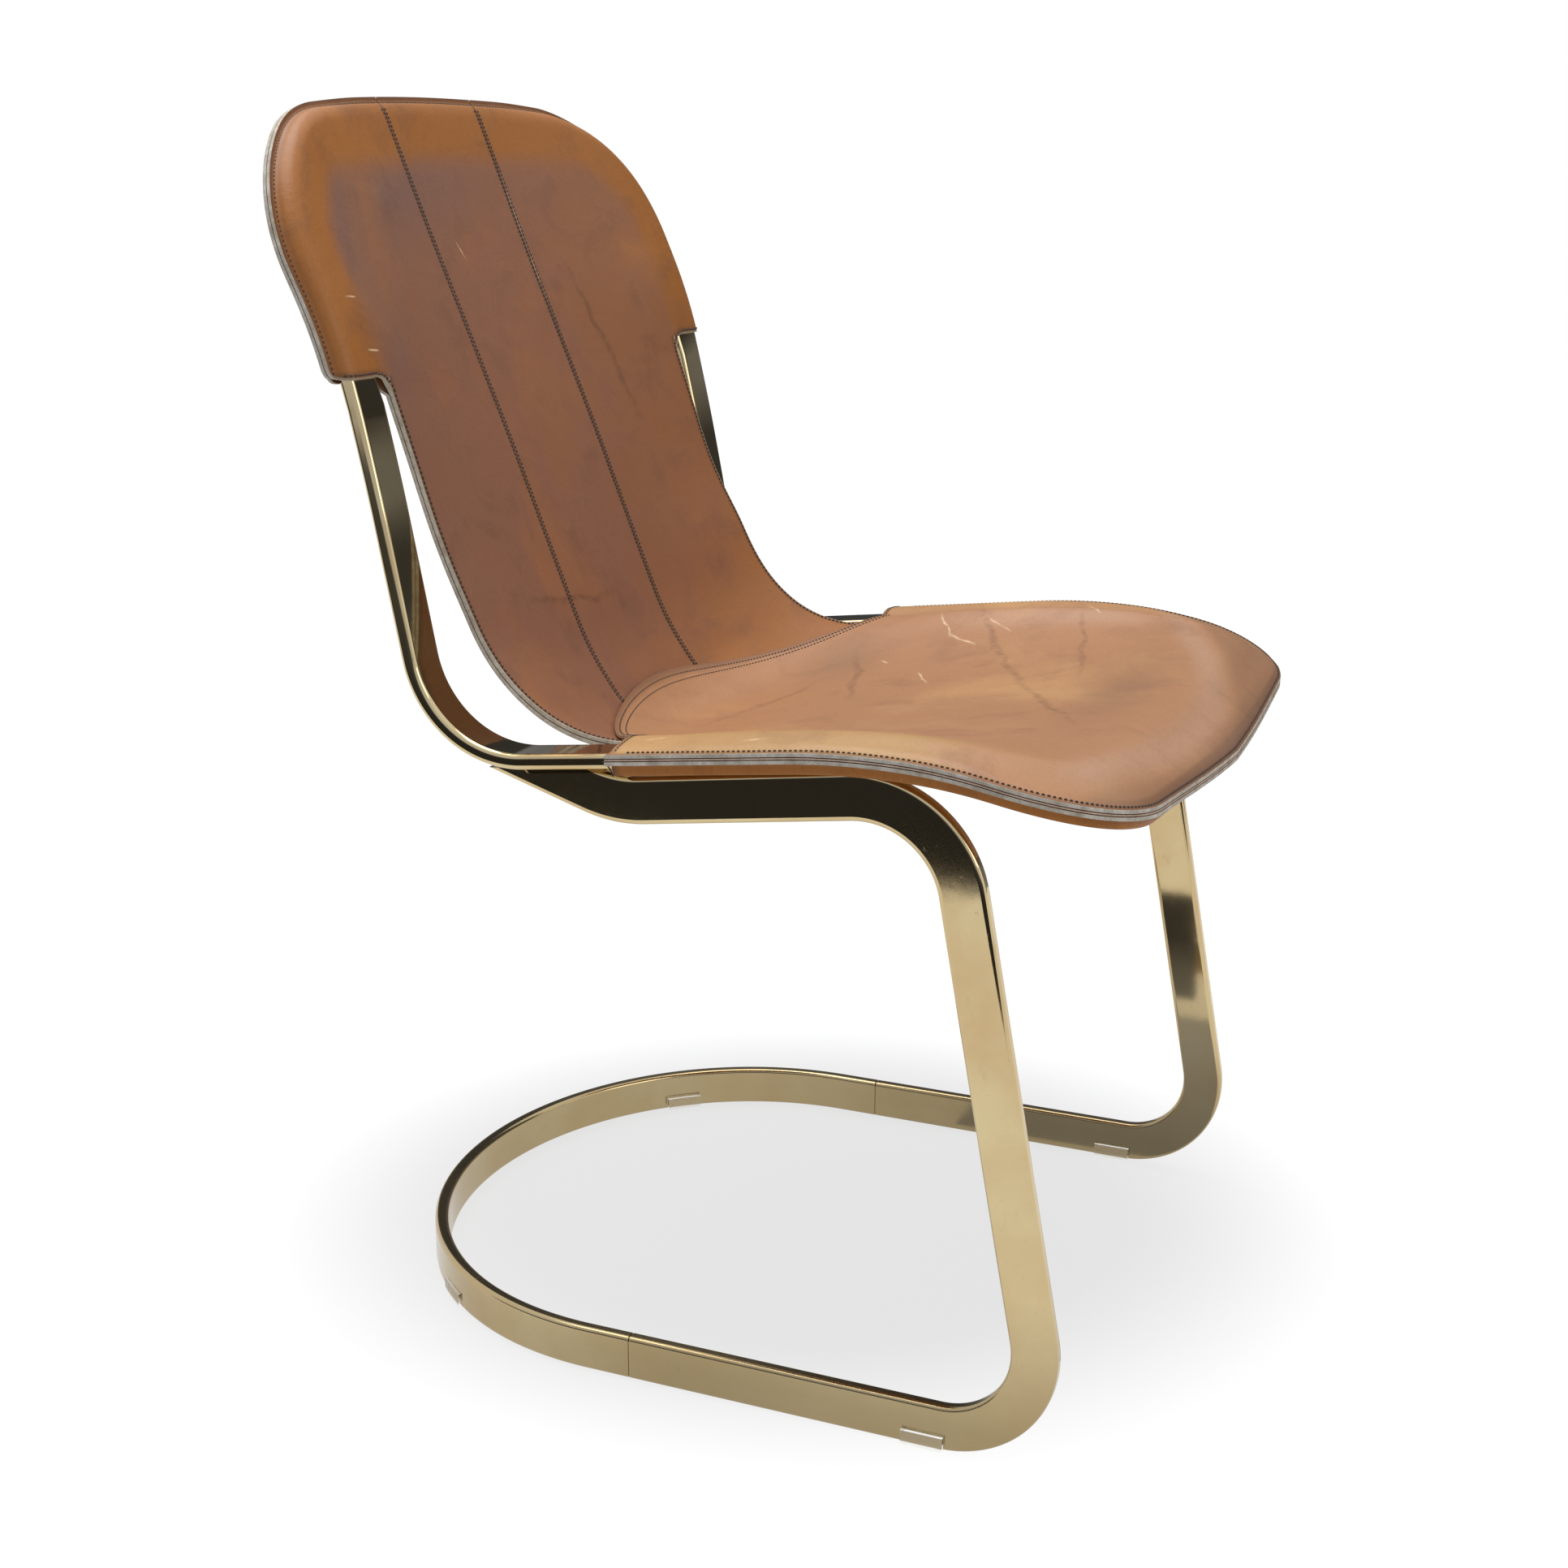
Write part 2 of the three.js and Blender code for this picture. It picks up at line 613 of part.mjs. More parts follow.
const ringStations = ringPath.map(({ at, up }, i) => {
  const d = direction(ringPoints, i);
  const out = up.clone().addScaledVector(d, -up.dot(d)).normalize();
  return { at, across: d.clone().cross(out), up: out };
});
add("back_arch", sweep(ringStations, tubeOutline, tubeBore), brass());

for (const [name, side] of sides) {
  const plan = [-spigotLength / 2, 0, spigotLength / 2]
    .map((y) => new THREE.Vector2(side * railX, ringJointPlace + y));
  add("ring_spigot_" + name, sweep(loopStations(plan), spigotOutline), steel());
}

// LEATHER BACK AND SLING
// A sheet is a grid of rows that run from a U-shaped outline to the middle line. Its columns
// near the outline keep fixed insets, so that edges and tubes are followed closely. Every
// grid point carries the two faces of the sheet.
function sheetSolid(rows, facesAt, openEnd = false) {
  const columns = rows[0].length;
  const positions = [];
  const both = rows.map((row) => row.map((p) => {
    const [a, b] = facesAt(p);
    const i = positions.length / 3;
    positions.push(...a.toArray(), ...b.toArray());
    return i;
  }));
  const triangles = [];
  const quad = (a, b, c, d) => triangles.push(a, b, c, a, c, d);
  for (let j = 0; j + 1 < rows.length; j++) {
    for (let i = 0; i + 1 < columns; i++) {
      const [a, b, c, d] = [both[j][i], both[j][i + 1], both[j + 1][i + 1], both[j + 1][i]];
      quad(a, b, c, d);
      quad(c + 1, b + 1, a + 1, d + 1);
    }
    const [a, d] = [both[j][0], both[j + 1][0]];
    quad(a + 1, a, d, d + 1);
    const [b, c] = [both[j][columns - 1], both[j + 1][columns - 1]];
    quad(b, b + 1, c + 1, c);
  }
  const end = both.at(-1);
  for (let i = 0; i + 1 < columns; i++) {
    quad(both[0][i], both[0][i] + 1, both[0][i + 1] + 1, both[0][i + 1]);
    if (openEnd) quad(end[i], end[i + 1], end[i + 1] + 1, end[i] + 1);
  }
  return toSolid(geometryOf(positions, triangles));
}

// Rows of such a grid. The outline is half a U, from its open end to the middle, as points
// with inward normals, and the axis gives the row's end on the middle line. The last row lies
// on the middle line, where both halves meet.
function sheetRows(outline, axis, insets, innerShares) {
  return outline.map((point, j) => {
    const d = direction(outline, j);
    const inward = new THREE.Vector2(-d.y, d.x);
    if (inward.dot(axis[j].clone().sub(point)) < 0) inward.negate();
    if (j === outline.length - 1) inward.set(0, Math.sign(inward.y));
    const half = insets.map((inset) => ({ p: point.clone().addScaledVector(inward, inset), inset }));
    const last = half.at(-1);
    innerShares.forEach((share) => {
      const p = last.p.clone().lerp(axis[j], share);
      half.push({ p, inset: last.inset + last.p.distanceTo(p) });
    });
    const mirrored = half.slice(0, -1).map(({ p, inset }) => ({ x: -p.x, s: p.y, inset }));
    return [...mirrored, ...half.reverse().map(({ p, inset }) => ({ x: p.x, s: p.y, inset }))];
  });
}

// Value of a table of [inset, value] pairs at an inset.
function table(pairs, inset) {
  const i = pairs.findIndex(([d]) => d >= inset);
  if (i < 0) return pairs.at(-1)[1];
  if (i === 0) return pairs[0][1];
  const [[d0, v0], [d1, v1]] = [pairs[i - 1], pairs[i]];
  return lerp(v0, v1, (inset - d0) / (d1 - d0));
}

// Back: outline of the sewn edge, offset outwards from the arch
const pocketReach = tubeWidth / 2 + 3 * clearance + leather + flange;
const backHalf = railX + pocketReach;
const backCorner = archCornerRadius + pocketReach;
const slingHalf = innerX - slingInset;
const slingEnd = lengthAtPlace(slingHalf, seatRearPlace - seatOverlap) + overrun;
const focusShare = 1.3;
const focus = backCorner * focusShare;
const slingRows = 15;
const mouthRows = 4;
const sideRows = 4;
const topRows = 6;
const backOutline = [];
const backAxis = [];
const wideEnd = middleLine.lengthAtHeight(slingEdgeKneeHeight);
const mouthEnd = middleMouth + overrun;
const sidePlaces = [];
for (let k = 0; k < slingRows; k++) sidePlaces.push(lerp(slingEnd, wideEnd, k / slingRows));
for (let k = 0; k < mouthRows; k++) sidePlaces.push(lerp(wideEnd, mouthEnd, k / mouthRows));
for (let k = 0; k < sideRows; k++) sidePlaces.push(lerp(mouthEnd, backCorner, k / sideRows));
sidePlaces.forEach((s) => {
  backOutline.push(new THREE.Vector2(backHalf, s));
  const axisStart = focus + backCorner / 2;
  const share = clamp((wideEnd - s) / (wideEnd - backCorner), 0, 1);
  backAxis.push(new THREE.Vector2(0, s > wideEnd ? s : lerp(wideEnd, axisStart, share)));
});
const cornerSteps = 9;
const axisAt = (row) => new THREE.Vector2(
  0, lerp(focus + backCorner / 2, focus, row / (cornerSteps + topRows)));
for (let k = 0; k <= cornerSteps; k++) {
  const angle = ((Math.PI / 2) * k) / cornerSteps;
  backOutline.push(new THREE.Vector2(
    backHalf - backCorner + backCorner * Math.cos(angle), backCorner - backCorner * Math.sin(angle)));
  backAxis.push(axisAt(k));
}
for (let k = 1; k <= topRows; k++) {
  backOutline.push(new THREE.Vector2(lerp(backHalf - backCorner, 0, k / topRows), 0));
  backAxis.push(axisAt(cornerSteps + k));
}
const withCrown = (p) => {
  const rise = crown(clamp(p.x, -railX, railX)) * Math.max(0, 1 - p.s / focus);
  return { ...p, s: p.s + rise };
};

// The flange lies level with the tube's rear face at the sides and near its front face at the
// top. From there the front layer closes over the tube's front and the rear layer over its back.
// Each table gives the share of that step at a share of the tube's inset.
const tubeInset = flange + leather + 3 * clearance;
const wrapRise = tubeThickness + 4 * clearance;
const fullRise = wrapRise - clearance;
const outerShares = [[0, 0], [0.62, 0], [0.68, 0.3], [0.77, 0.7], [0.92, 0.95], [1.1, 1]];
const innerWrapShares = [[0, 0], [0.87, 0], [0.92, 1]];
const byInset = (shares) => shares.map(([d, v]) => [d * tubeInset, v]);
const outerClose = byInset(outerShares);
const innerClose = byInset(innerWrapShares);
const wrapInsets = [...new Set([...outerClose, ...innerClose].map(([d]) => d))].sort((a, b) => a - b);
const flangeTurnShares = [0.35, 0.78]; // of the half width, where the flange changes its depth
const flangeDepth = (x) => lerp(
  topFlangeDepth, fullRise, smooth(Math.abs(x) / backHalf, ...flangeTurnShares));
const backInsets = [...wrapInsets.slice(0, 1), flange / 2, ...wrapInsets.slice(1), tubeInset + tubeWidth];
const innerShares = [0.1, 0.22, 0.36, 0.62, 1];
const backRows = sheetRows(backOutline, backAxis, backInsets, innerShares).map((row) => row.map(withCrown));
const frontLayer = sheetSolid(backRows, ({ x, s, inset }) => [
  behindFace(x, s, flangeDepth(x) * (1 - table(outerClose, inset))),
  behindFace(x, s, leather + flangeDepth(x) * (1 - table(innerClose, inset))),
]);

// Rear layer: straight behind the tube, and against the front layer elsewhere
const mouthFade = (s) => 1 - smooth(s, mouthEnd, mouthEnd + 3 * pocketMouthRadius);
function rearDepth({ x, s, inset }, close) {
  const near = 1 - smooth(inset, tubeInset + tubeWidth, tubeInset + 4 * tubeWidth);
  const over = lerp(flangeDepth(x), fullRise, table(close, inset));
  return skin + over * near * mouthFade(s);
}
const rearLayer = sheetSolid(backRows, (p) => [
  behindFace(p.x, p.s, rearDepth(p, innerClose)),
  behindFace(p.x, p.s, rearDepth(p, outerClose) + leather),
]);

// Cutters that narrow both layers to the sling below the pocket's mouth
const far = backHalf + overrun;
const tipTop = pocketMouthHeight + 2 * pocketTipRadius;
const mouthCutter = (side) => {
  const corners = [
    new THREE.Vector2(slingHalf, 0),
    new THREE.Vector2(slingHalf, pocketMouthHeight),
    new THREE.Vector2(backHalf, pocketMouthHeight),
    new THREE.Vector2(backHalf, tipTop),
  ];
  const line = roundedLine(corners, [pocketMouthRadius, pocketTipRadius]);
  const outside = [new THREE.Vector2(far, tipTop), new THREE.Vector2(far, 0)];
  const points = [...line, ...outside].map((p) => new THREE.Vector2(side * p.x, p.y));
  return prism(points, (x, z, y) => vec(x, y, z), -cutterReach, cutterReach);
};
const tongueLine = (forward) => {
  const steps = 24;
  const out = [];
  for (let k = -steps; k <= steps; k++) {
    const x = far * (k / steps);
    const share = Math.max(0, 1 - (x / innerX) ** 2);
    out.push(new THREE.Vector2(x, seatRearPlace - forward + seatTongue * share));
  }
  return out;
};
const plan = (x, y, z) => vec(x, y, z);
const ahead = [
  ...tongueLine(seatOverlap),
  new THREE.Vector2(far, loopFrontAtMiddle - pocketReach - overrun),
  new THREE.Vector2(-far, loopFrontAtMiddle - pocketReach - overrun),
];
const slingFrontCutter = prism(ahead, plan, 0, slingEdgeKneeHeight);
const cutSling = (solid) => sides.reduce((s, [, side]) => s.subtract(mouthCutter(side)), solid)
  .subtract(slingFrontCutter);

// The front layer is three panels that meet at the two upright seams
const slab = (from, to) => {
  const corners = [[from, -cutterReach], [to, -cutterReach], [to, cutterReach], [from, cutterReach]];
  return prism(corners.map(([x, y]) => new THREE.Vector2(x, y)), plan, 0, cutterReach);
};
const frontCut = cutSling(frontLayer);
add(
  "sling_panel_middle",
  frontCut.intersect(slab(-seamPlace + seamGap / 2, seamPlace - seamGap / 2)),
  leatherOf(0x7d5440),
);
for (const [name, side] of sides) {
  const [from, to] = [side * (seamPlace + seamGap / 2), side * far].sort((a, b) => a - b);
  add("sling_panel_" + name, frontCut.intersect(slab(from, to)), leatherOf(0x83583f));
}
add("sling_rear_layer", cutSling(rearLayer), leatherOf(0x8a8474));

// SEAT POCKET
// Its panels are grids over the plan, drawn from the flange's U-shaped outline inwards.
const seatReach = tubeWidth / 2 + clearance + leather + seatFlange;
const seatHalf = railX + seatReach;
const seatCorner = loopCornerRadius + seatReach;
const seatFront = loopFrontPlace - seatReach;
const seatRearEnd = seatRearPlace + seatTongue + overrun;
const seatFocus = seatFront + seatCorner * focusShare;
const seatOutline = [];
const seatAxis = [];
const tongueRows = 10;
const seatSideRows = 7;
const seatCornerSteps = 9;
const seatFrontRows = 5;
for (let k = 0; k < tongueRows; k++) {
  const y = lerp(seatRearEnd, seatRearPlace, k / tongueRows);
  seatOutline.push(new THREE.Vector2(seatHalf, y));
  seatAxis.push(new THREE.Vector2(0, y));
}
for (let k = 0; k < seatSideRows; k++) {
  const share = k / seatSideRows;
  seatOutline.push(new THREE.Vector2(seatHalf, lerp(seatRearPlace, seatFront + seatCorner, share)));
  seatAxis.push(new THREE.Vector2(0, lerp(seatRearPlace, seatFocus + seatCorner / 3, share)));
}
const seatEndRows = seatCornerSteps + seatFrontRows;
for (let k = 0; k <= seatEndRows; k++) {
  const angle = (Math.PI / 2) * Math.min(1, k / seatCornerSteps);
  const across = Math.max(0, k - seatCornerSteps) / seatFrontRows;
  const x = (seatHalf - seatCorner) * (1 - across) + seatCorner * Math.cos(angle);
  const y = seatFront + seatCorner * (1 - Math.sin(angle));
  seatOutline.push(new THREE.Vector2(x, y - loopBow * bow(x, seatHalf)));
  seatAxis.push(new THREE.Vector2(0, lerp(seatFocus + seatCorner / 3, seatFocus, k / seatEndRows)));
}

// Height of the flange's top at a point of the outline
const frontDroopExponent = 1.4;
function flangeTop(x, place) {
  const middle = Math.max(0, 1 - Math.abs(x) / seatHalf) ** frontDroopExponent;
  const droop = cornerDroop + frontDroop * middle;
  return railHeight(place) + halfSection + seatFlangeRise - droop * smooth(-place, seatHalf / 2, seatHalf);
}
// Both panels run level from the edge to the flange's inner side, then close round the tube
// and go on to the sitting face. Each table gives the share of one face's step at an inset.
const eased = (t) => t * t * (3 - 2 * t);
const seatInset = seatFlange + leather + clearance;
const wrapStep = leather / 2;
const outerWrap = [[seatFlange - wrapStep / 2, 0], [seatFlange + wrapStep, 1]];
const innerWrap = [[seatInset - wrapStep, 0], [seatInset, 1]];
const ontoFace = [[seatInset, 0], [seatInset + tubeWidth, 1]];
const breaks = [...outerWrap, ...innerWrap].map(([d]) => d);
const overTubeInsets = [1, 2, 3].map((k) => seatInset + (tubeWidth * k) / 3);
const seatInsets = [0, ...breaks, ...overTubeInsets];
const tubeStretch = (place) => 1 / railNormal(place).z;
const lift = 3 * clearance; // between the top panel and the sling under it
// Height of one face: its step from the edge to the tube, then its slope onto the inner level
function wrapped(levels, wrap, inset) {
  const [edge, tube, inner] = levels;
  const outside = lerp(edge, tube, table(wrap, inset));
  return lerp(outside, inner, eased(table(ontoFace, inset)));
}
function topFaces({ x, s, inset }) {
  const overTube = railHeight(s) + (halfSection + 2 * clearance) * tubeStretch(s);
  const onFace = faceHeight(x, s) + lift * stretch(x, s);
  const edge = flangeTop(x, s) - leather;
  const levels = [edge, Math.max(edge, overTube), onFace];
  const thick = leather * lerp(1, stretch(x, s), table(ontoFace, inset));
  const upper = wrapped(levels, outerWrap, inset) + thick;
  return [vec(x, s, upper), vec(x, s, wrapped(levels, innerWrap, inset))];
}
function lowFaces({ x, s, inset }) {
  const edge = flangeTop(x, s) - leather - welt - 2 * clearance;
  const under = railHeight(s) - (halfSection + 2 * clearance) * tubeStretch(s)
    - frontBelly * smooth(-s, seatHalf / 2, seatHalf);
  const levels = [edge, under, Math.min(under, faceHeight(x, s) - seatBelly)];
  const lower = wrapped(levels, outerWrap, inset) - leather;
  return [vec(x, s, wrapped(levels, innerWrap, inset)), vec(x, s, lower)];
}
const behind = (line) => prism(
  [...line, new THREE.Vector2(cutterReach, cutterReach), new THREE.Vector2(-cutterReach, cutterReach)],
  plan, 0, cutterReach);
const seatShares = [0.14, 0.34, 0.62, 1];
// The drooping flange at the front is shorter in plan: its points move towards the tube.
function tucked(row) {
  return row.map((p, i) => {
    if (p.inset >= breaks[0]) return p;
    const fromNear = i < row.length / 2 ? row : [...row].reverse();
    const q = fromNear.find((other) => other.inset >= breaks[0]);
    const reach = Math.hypot(q.x - p.x, q.s - p.s);
    const facing = (q.s - p.s) / reach;
    const share = (frontTuck / seatFlange) * facing * Math.abs(facing);
    return { ...p, x: lerp(p.x, q.x, Math.max(0, share)), s: lerp(p.s, q.s, Math.max(0, share)) };
  });
}
const seatRows = sheetRows(seatOutline, seatAxis, seatInsets, seatShares).map(tucked);
const topPanel = sheetSolid(seatRows, topFaces);
add("seat_top_panel", topPanel.subtract(behind(tongueLine(0))), leatherOf(0xb98860));
const rearAcross = [
  new THREE.Vector2(-cutterReach, seatRearPlace), new THREE.Vector2(cutterReach, seatRearPlace),
];
const lowPanel = sheetSolid(seatRows, lowFaces);
add("seat_lower_panel", lowPanel.subtract(behind(rearAcross)), leatherOf(0xb57a3a));

// Filler between the two panels in the flange
const weltShare = 0.55; // of the flange's width
const weltStrip = (row) => {
  const outer = row[0];
  const inner = row.find((p) => p.inset >= breaks[0]);
  const x = lerp(outer.x, inner.x, weltShare);
  return [outer, { ...inner, x, s: lerp(outer.s, inner.s, weltShare) }];
};
const mirror = (p) => ({ ...p, x: -p.x });
const nearHalf = seatRows.slice(tongueRows).map(weltStrip);
const weltRows = [...nearHalf, ...nearHalf.slice(0, -1).reverse().map((row) => row.map(mirror))];
const weltFaces = ({ x, s }) => {
  const top = flangeTop(x, s) - leather - clearance;
  return [vec(x, s, top), vec(x, s, top - welt)];
};
add("seat_edge_welt", sheetSolid(weltRows, weltFaces, true), leatherOf(0x5a4a3c));

// The part's origin is the middle of its base
const bounds = new THREE.Box3().setFromObject(chair);
const middle = bounds.getCenter(new THREE.Vector3());
chair.children.forEach((mesh) => mesh.geometry.translate(-middle.x, -middle.y, -bounds.min.z));

export default chair;
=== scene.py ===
# %% [markdown]
# A cantilever dining chair: a bent flat brass tube that carries a saddle-leather sling.
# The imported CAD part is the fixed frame. Its solids are faceted and plain, so here every
# visible piece is worked out again with numpy as a smooth surface in the same place, and
# gets a finish: polished brass, oiled leather, raw leather edges, thread or clear plastic.
# Lengths are millimetres in the maker's own axes, and one helper turns them into metres.

import bpy
import numpy as np
from mathutils import Matrix, Vector


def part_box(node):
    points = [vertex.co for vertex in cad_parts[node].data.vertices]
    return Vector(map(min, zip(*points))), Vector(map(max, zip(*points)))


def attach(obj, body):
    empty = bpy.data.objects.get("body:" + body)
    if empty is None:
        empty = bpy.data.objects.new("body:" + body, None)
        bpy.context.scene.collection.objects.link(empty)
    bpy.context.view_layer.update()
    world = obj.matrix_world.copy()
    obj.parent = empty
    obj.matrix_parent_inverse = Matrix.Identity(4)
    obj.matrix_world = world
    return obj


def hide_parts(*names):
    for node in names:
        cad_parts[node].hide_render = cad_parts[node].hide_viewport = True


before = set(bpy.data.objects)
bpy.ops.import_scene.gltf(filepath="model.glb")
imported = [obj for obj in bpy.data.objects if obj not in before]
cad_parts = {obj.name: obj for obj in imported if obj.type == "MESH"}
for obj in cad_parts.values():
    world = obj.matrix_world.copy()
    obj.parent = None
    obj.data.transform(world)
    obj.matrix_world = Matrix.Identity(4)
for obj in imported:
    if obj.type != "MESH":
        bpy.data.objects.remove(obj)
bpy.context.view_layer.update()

# %% [markdown]
# The maker's drawing measures places from a plane through the middle of the seat, and the
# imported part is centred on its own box. The rear arc's rearmost point is known in both, so
# the difference between them is the shift along Y.

# %% Shared sizes and the shift between the two frames
MM = 0.001
TUBE_W, TUBE_T, TUBE_R = 30.0, 10.0, 3.0  # wide side, thin side, corner radius
HALF_T = TUBE_T / 2
GAP, LEATHER = 0.3, 2.6
RAIL_X, RUNNER_Z = 230.0, 17.0  # centre lines of the side tubes and of the runners
ARC_PLACE, ARC_DEPTH, JOINT_PLACE = 95.0, 215.0, 64.0
X_AXIS, Z_AXIS = np.array([1.0, 0, 0]), np.array([0, 0, 1.0])
shift = ARC_PLACE + ARC_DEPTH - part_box("base_rear_arc")[1].y / MM


def metres(points):
    """The maker's millimetres to the part's metres: subtract the shift from y, then scale."""
    return (np.asarray(points, float) - [0.0, shift, 0.0]) * MM


print("shift along y", round(shift, 3), "mm")

# %% [markdown]
# Every bent line of the chair, metal or leather, is a polyline whose corners are rounded to
# a radius. A dense sampling of such a line is the base of all the surfaces below.

# %% Rounded lines and smooth steps
def unit(v):
    return v / np.maximum(np.linalg.norm(v, axis=-1, keepdims=True), 1e-12)


def tangents(points):
    return unit(np.gradient(points, axis=0))


def heading(degrees):
    """Unit direction in the (place, height) plane, as an angle over the way to the back."""
    return np.array([np.cos(np.radians(degrees)), np.sin(np.radians(degrees))])


def straight(a, b, step=8.0):
    """Evenly spaced points from a to b, no further apart than step."""
    n = max(1, int(np.ceil(np.linalg.norm(b - a) / step)))
    return a + (b - a) * np.linspace(0, 1, n + 1)[:, None]


def rounded(corners, radii, turn_step=1.5):
    """A polyline with arcs: at each inner corner the arc of the given radius touches both
    legs, its centre on their bisector at radius over sine of the half angle."""
    corners = [np.array(c, float) for c in corners]
    out = [corners[0][None]]
    for a, b, c, radius in zip(corners, corners[1:], corners[2:], radii):
        u, v = unit(a - b), unit(c - b)
        half = np.arccos(np.clip(u @ v, -1, 1)) / 2
        centre = b + unit(u + v) * radius / np.sin(half)
        start = b + u * radius / np.tan(half) - centre
        turn = np.pi - 2 * half
        angle = np.linspace(0, turn, max(3, int(np.degrees(turn) / turn_step)) + 1)[:, None]
        angle = angle * -np.sign(u[0] * v[1] - u[1] * v[0])
        arc = centre + start * np.cos(angle) + np.array([-start[1], start[0]]) * np.sin(angle)
        out += [straight(out[-1][-1], arc[0])[1:], arc[1:]]
    return np.concatenate([*out, straight(out[-1][-1], corners[-1])[1:]])


def lengths(points):
    """Length along a polyline at each of its points."""
    return np.r_[0, np.cumsum(np.linalg.norm(np.diff(points, axis=0), axis=1))]


def smooth(x, low, high):
    """A step from 0 to 1 between low and high: 3t2 - 2t3 of the clipped share t."""
    t = np.clip((x - low) / (high - low), 0, 1)
    return t * t * (3 - 2 * t)


def bell(x, middle, width):
    """A hump of height 1: e to the minus square of the distance over the width."""
    return np.exp(-(((x - middle) / width) ** 2))


def mix(a, b, t):
    """Straight mix from a to b."""
    return a + (b - a) * t


print("a corner of 90 degrees takes", len(rounded([[0, 0], [9, 0], [9, 9]], [9])), "points")

# %% [markdown]
# The rails fall towards the back and curve down to the front like a waterfall. The base
# stands under them: the bars keep a small gap, the legs lean forwards to the floor.

# %% Lines of the frame
RAIL_FALL, HEEL = np.radians(6.5), np.array([189.8, 411.7])
FALL_PLACE, FALL_RADIUS = -55.0, 460.0
BAR_SLOPE, LEG_SLOPE, TAIL_SLOPE = -7.5, 79.5, 51.3
UPRIGHT_SLOPE, TOP_SLOPE = 79.1, 66.5  # of the back, below and above its bend
BEND_TURN, BEND_RADIUS = 12.6, 310.0
TAIL_PLACE, TAIL_BACK, BAR_GAP, KNEE_REACH = 98.7, 4.4, 8.4, 92.2
FOOT_RADIUS, KNEE_RADIUS, TAIL_RADIUS = 60, 65, 82
UPRIGHT_LENGTH, ARCH_RISE, TOP_RISE, MOUTH_DROP = 265, 123.1, 28, 23.9


def rail_height(place):
    """Height of the ring's centre line: a straight slope, then an arc from FALL_PLACE on."""
    place = np.asarray(place, float)
    level = HEEL[1] + (HEEL[0] - np.maximum(place, FALL_PLACE)) * np.tan(RAIL_FALL)
    sine = np.sin(RAIL_FALL) - np.maximum(0, FALL_PLACE - place) / FALL_RADIUS
    return level + FALL_RADIUS * (np.sqrt(1 - sine**2) - np.cos(RAIL_FALL))


def rail_rise(place):
    """Slope of the ring's centre line."""
    return (rail_height(place + 5) - rail_height(place - 5)) / 10


def crossing(p, a, q, b):
    """Crossing of two lines, each a point and a direction."""
    return p + a * np.linalg.solve(np.column_stack([a, -b]), q - p)[0]


bar = heading(BAR_SLOPE)
tail_corner = np.array([TAIL_PLACE, rail_height(TAIL_PLACE) - HALF_T - BAR_GAP - TUBE_W / 2])
knee = crossing(np.array([FALL_PLACE - KNEE_REACH, 0]), heading(90), tail_corner, bar)
foot = crossing(knee, heading(LEG_SLOPE), np.array([0, RUNNER_Z]), heading(0))
tail_bend = tail_corner - bar * TAIL_BACK
side_line = rounded([[JOINT_PLACE, RUNNER_Z], foot, knee, tail_bend,
                     tail_bend + heading(TAIL_SLOPE) * 60],
                    [FOOT_RADIUS, KNEE_RADIUS, TAIL_RADIUS])
back_bend = HEEL + heading(UPRIGHT_SLOPE) * UPRIGHT_LENGTH
arch_height = back_bend[1] + ARCH_RISE
top_height = arch_height + TOP_RISE
mouth_height = back_bend[1] - MOUTH_DROP
print("leather's top", round(top_height, 1), "pocket mouth", round(mouth_height, 1), "mm")

# %% [markdown]
# The sitting face is drawn between two lines, one at mid width and one over the tubes, both
# running from the top of the back to the front of the seat. Across the chair it is a
# parabola that runs out over the tubes. The length s down the middle line and the distance
# x from mid width are the two parameters of every leather surface.

# %% The leather's sitting face
SKIN = LEATHER + GAP
OVER_TUBE = HALF_T + SKIN + GAP
INNER_X = RAIL_X - TUBE_W / 2
CREST = -219.3  # place of the leather's highest line over the front tube
MOUTH_TURN, MOUTH_RADIUS = 5.6, 100
FLAT_SHARE = 0.85  # of the half width, up to which the hollow is one parabola


def loft(place):
    """Height of the leather over the rail: 3 mm, rising to 7 mm over the front tube."""
    return mix(3, 7, smooth(-place, 55, 235))


def over_rail(place):
    return rail_height(place) + HALF_T + loft(place)


def tangent(radius, turn):
    """Length that an arc of a given turn takes off each leg of its corner."""
    return radius * np.tan(np.radians(turn) / 2)


def up_to(start, degrees, height):
    """The point at which a line from start comes to a height."""
    return start + heading(degrees) * (height - start[1]) / np.sin(np.radians(degrees))


lumbar, hollow = HEEL + [-16, 37.7], HEEL + [-55.8, -21.7]
middle_line = rounded(
    [up_to(lumbar, 68.4, top_height), lumbar, hollow, [CREST, over_rail(CREST)]], [200, 60])
edge_bend = back_bend - heading(TOP_SLOPE - 90) * OVER_TUBE
edge_radius = BEND_RADIUS + OVER_TUBE
edge_mouth = edge_bend - heading(UPRIGHT_SLOPE) * (
    tangent(edge_radius, BEND_TURN) + tangent(MOUTH_RADIUS, MOUTH_TURN))
edge_knee = up_to(edge_mouth, UPRIGHT_SLOPE - MOUTH_TURN, HEEL[1] + 136.3)
edge_foot = crossing(edge_knee, heading(64.5), HEEL + [0, HALF_T + 3], heading(-6.5))
front = np.linspace(FALL_PLACE, CREST, 60)
edge_front = np.column_stack([front, over_rail(front)])
edge_corners = [up_to(edge_bend, TOP_SLOPE, top_height), edge_bend, edge_mouth, edge_knee,
                edge_foot, edge_front[0]]
edge_line = np.concatenate(
    [rounded(edge_corners, [edge_radius, MOUTH_RADIUS, 400, 110])[:-1], edge_front])
middle_s, edge_s = lengths(middle_line), lengths(edge_line)


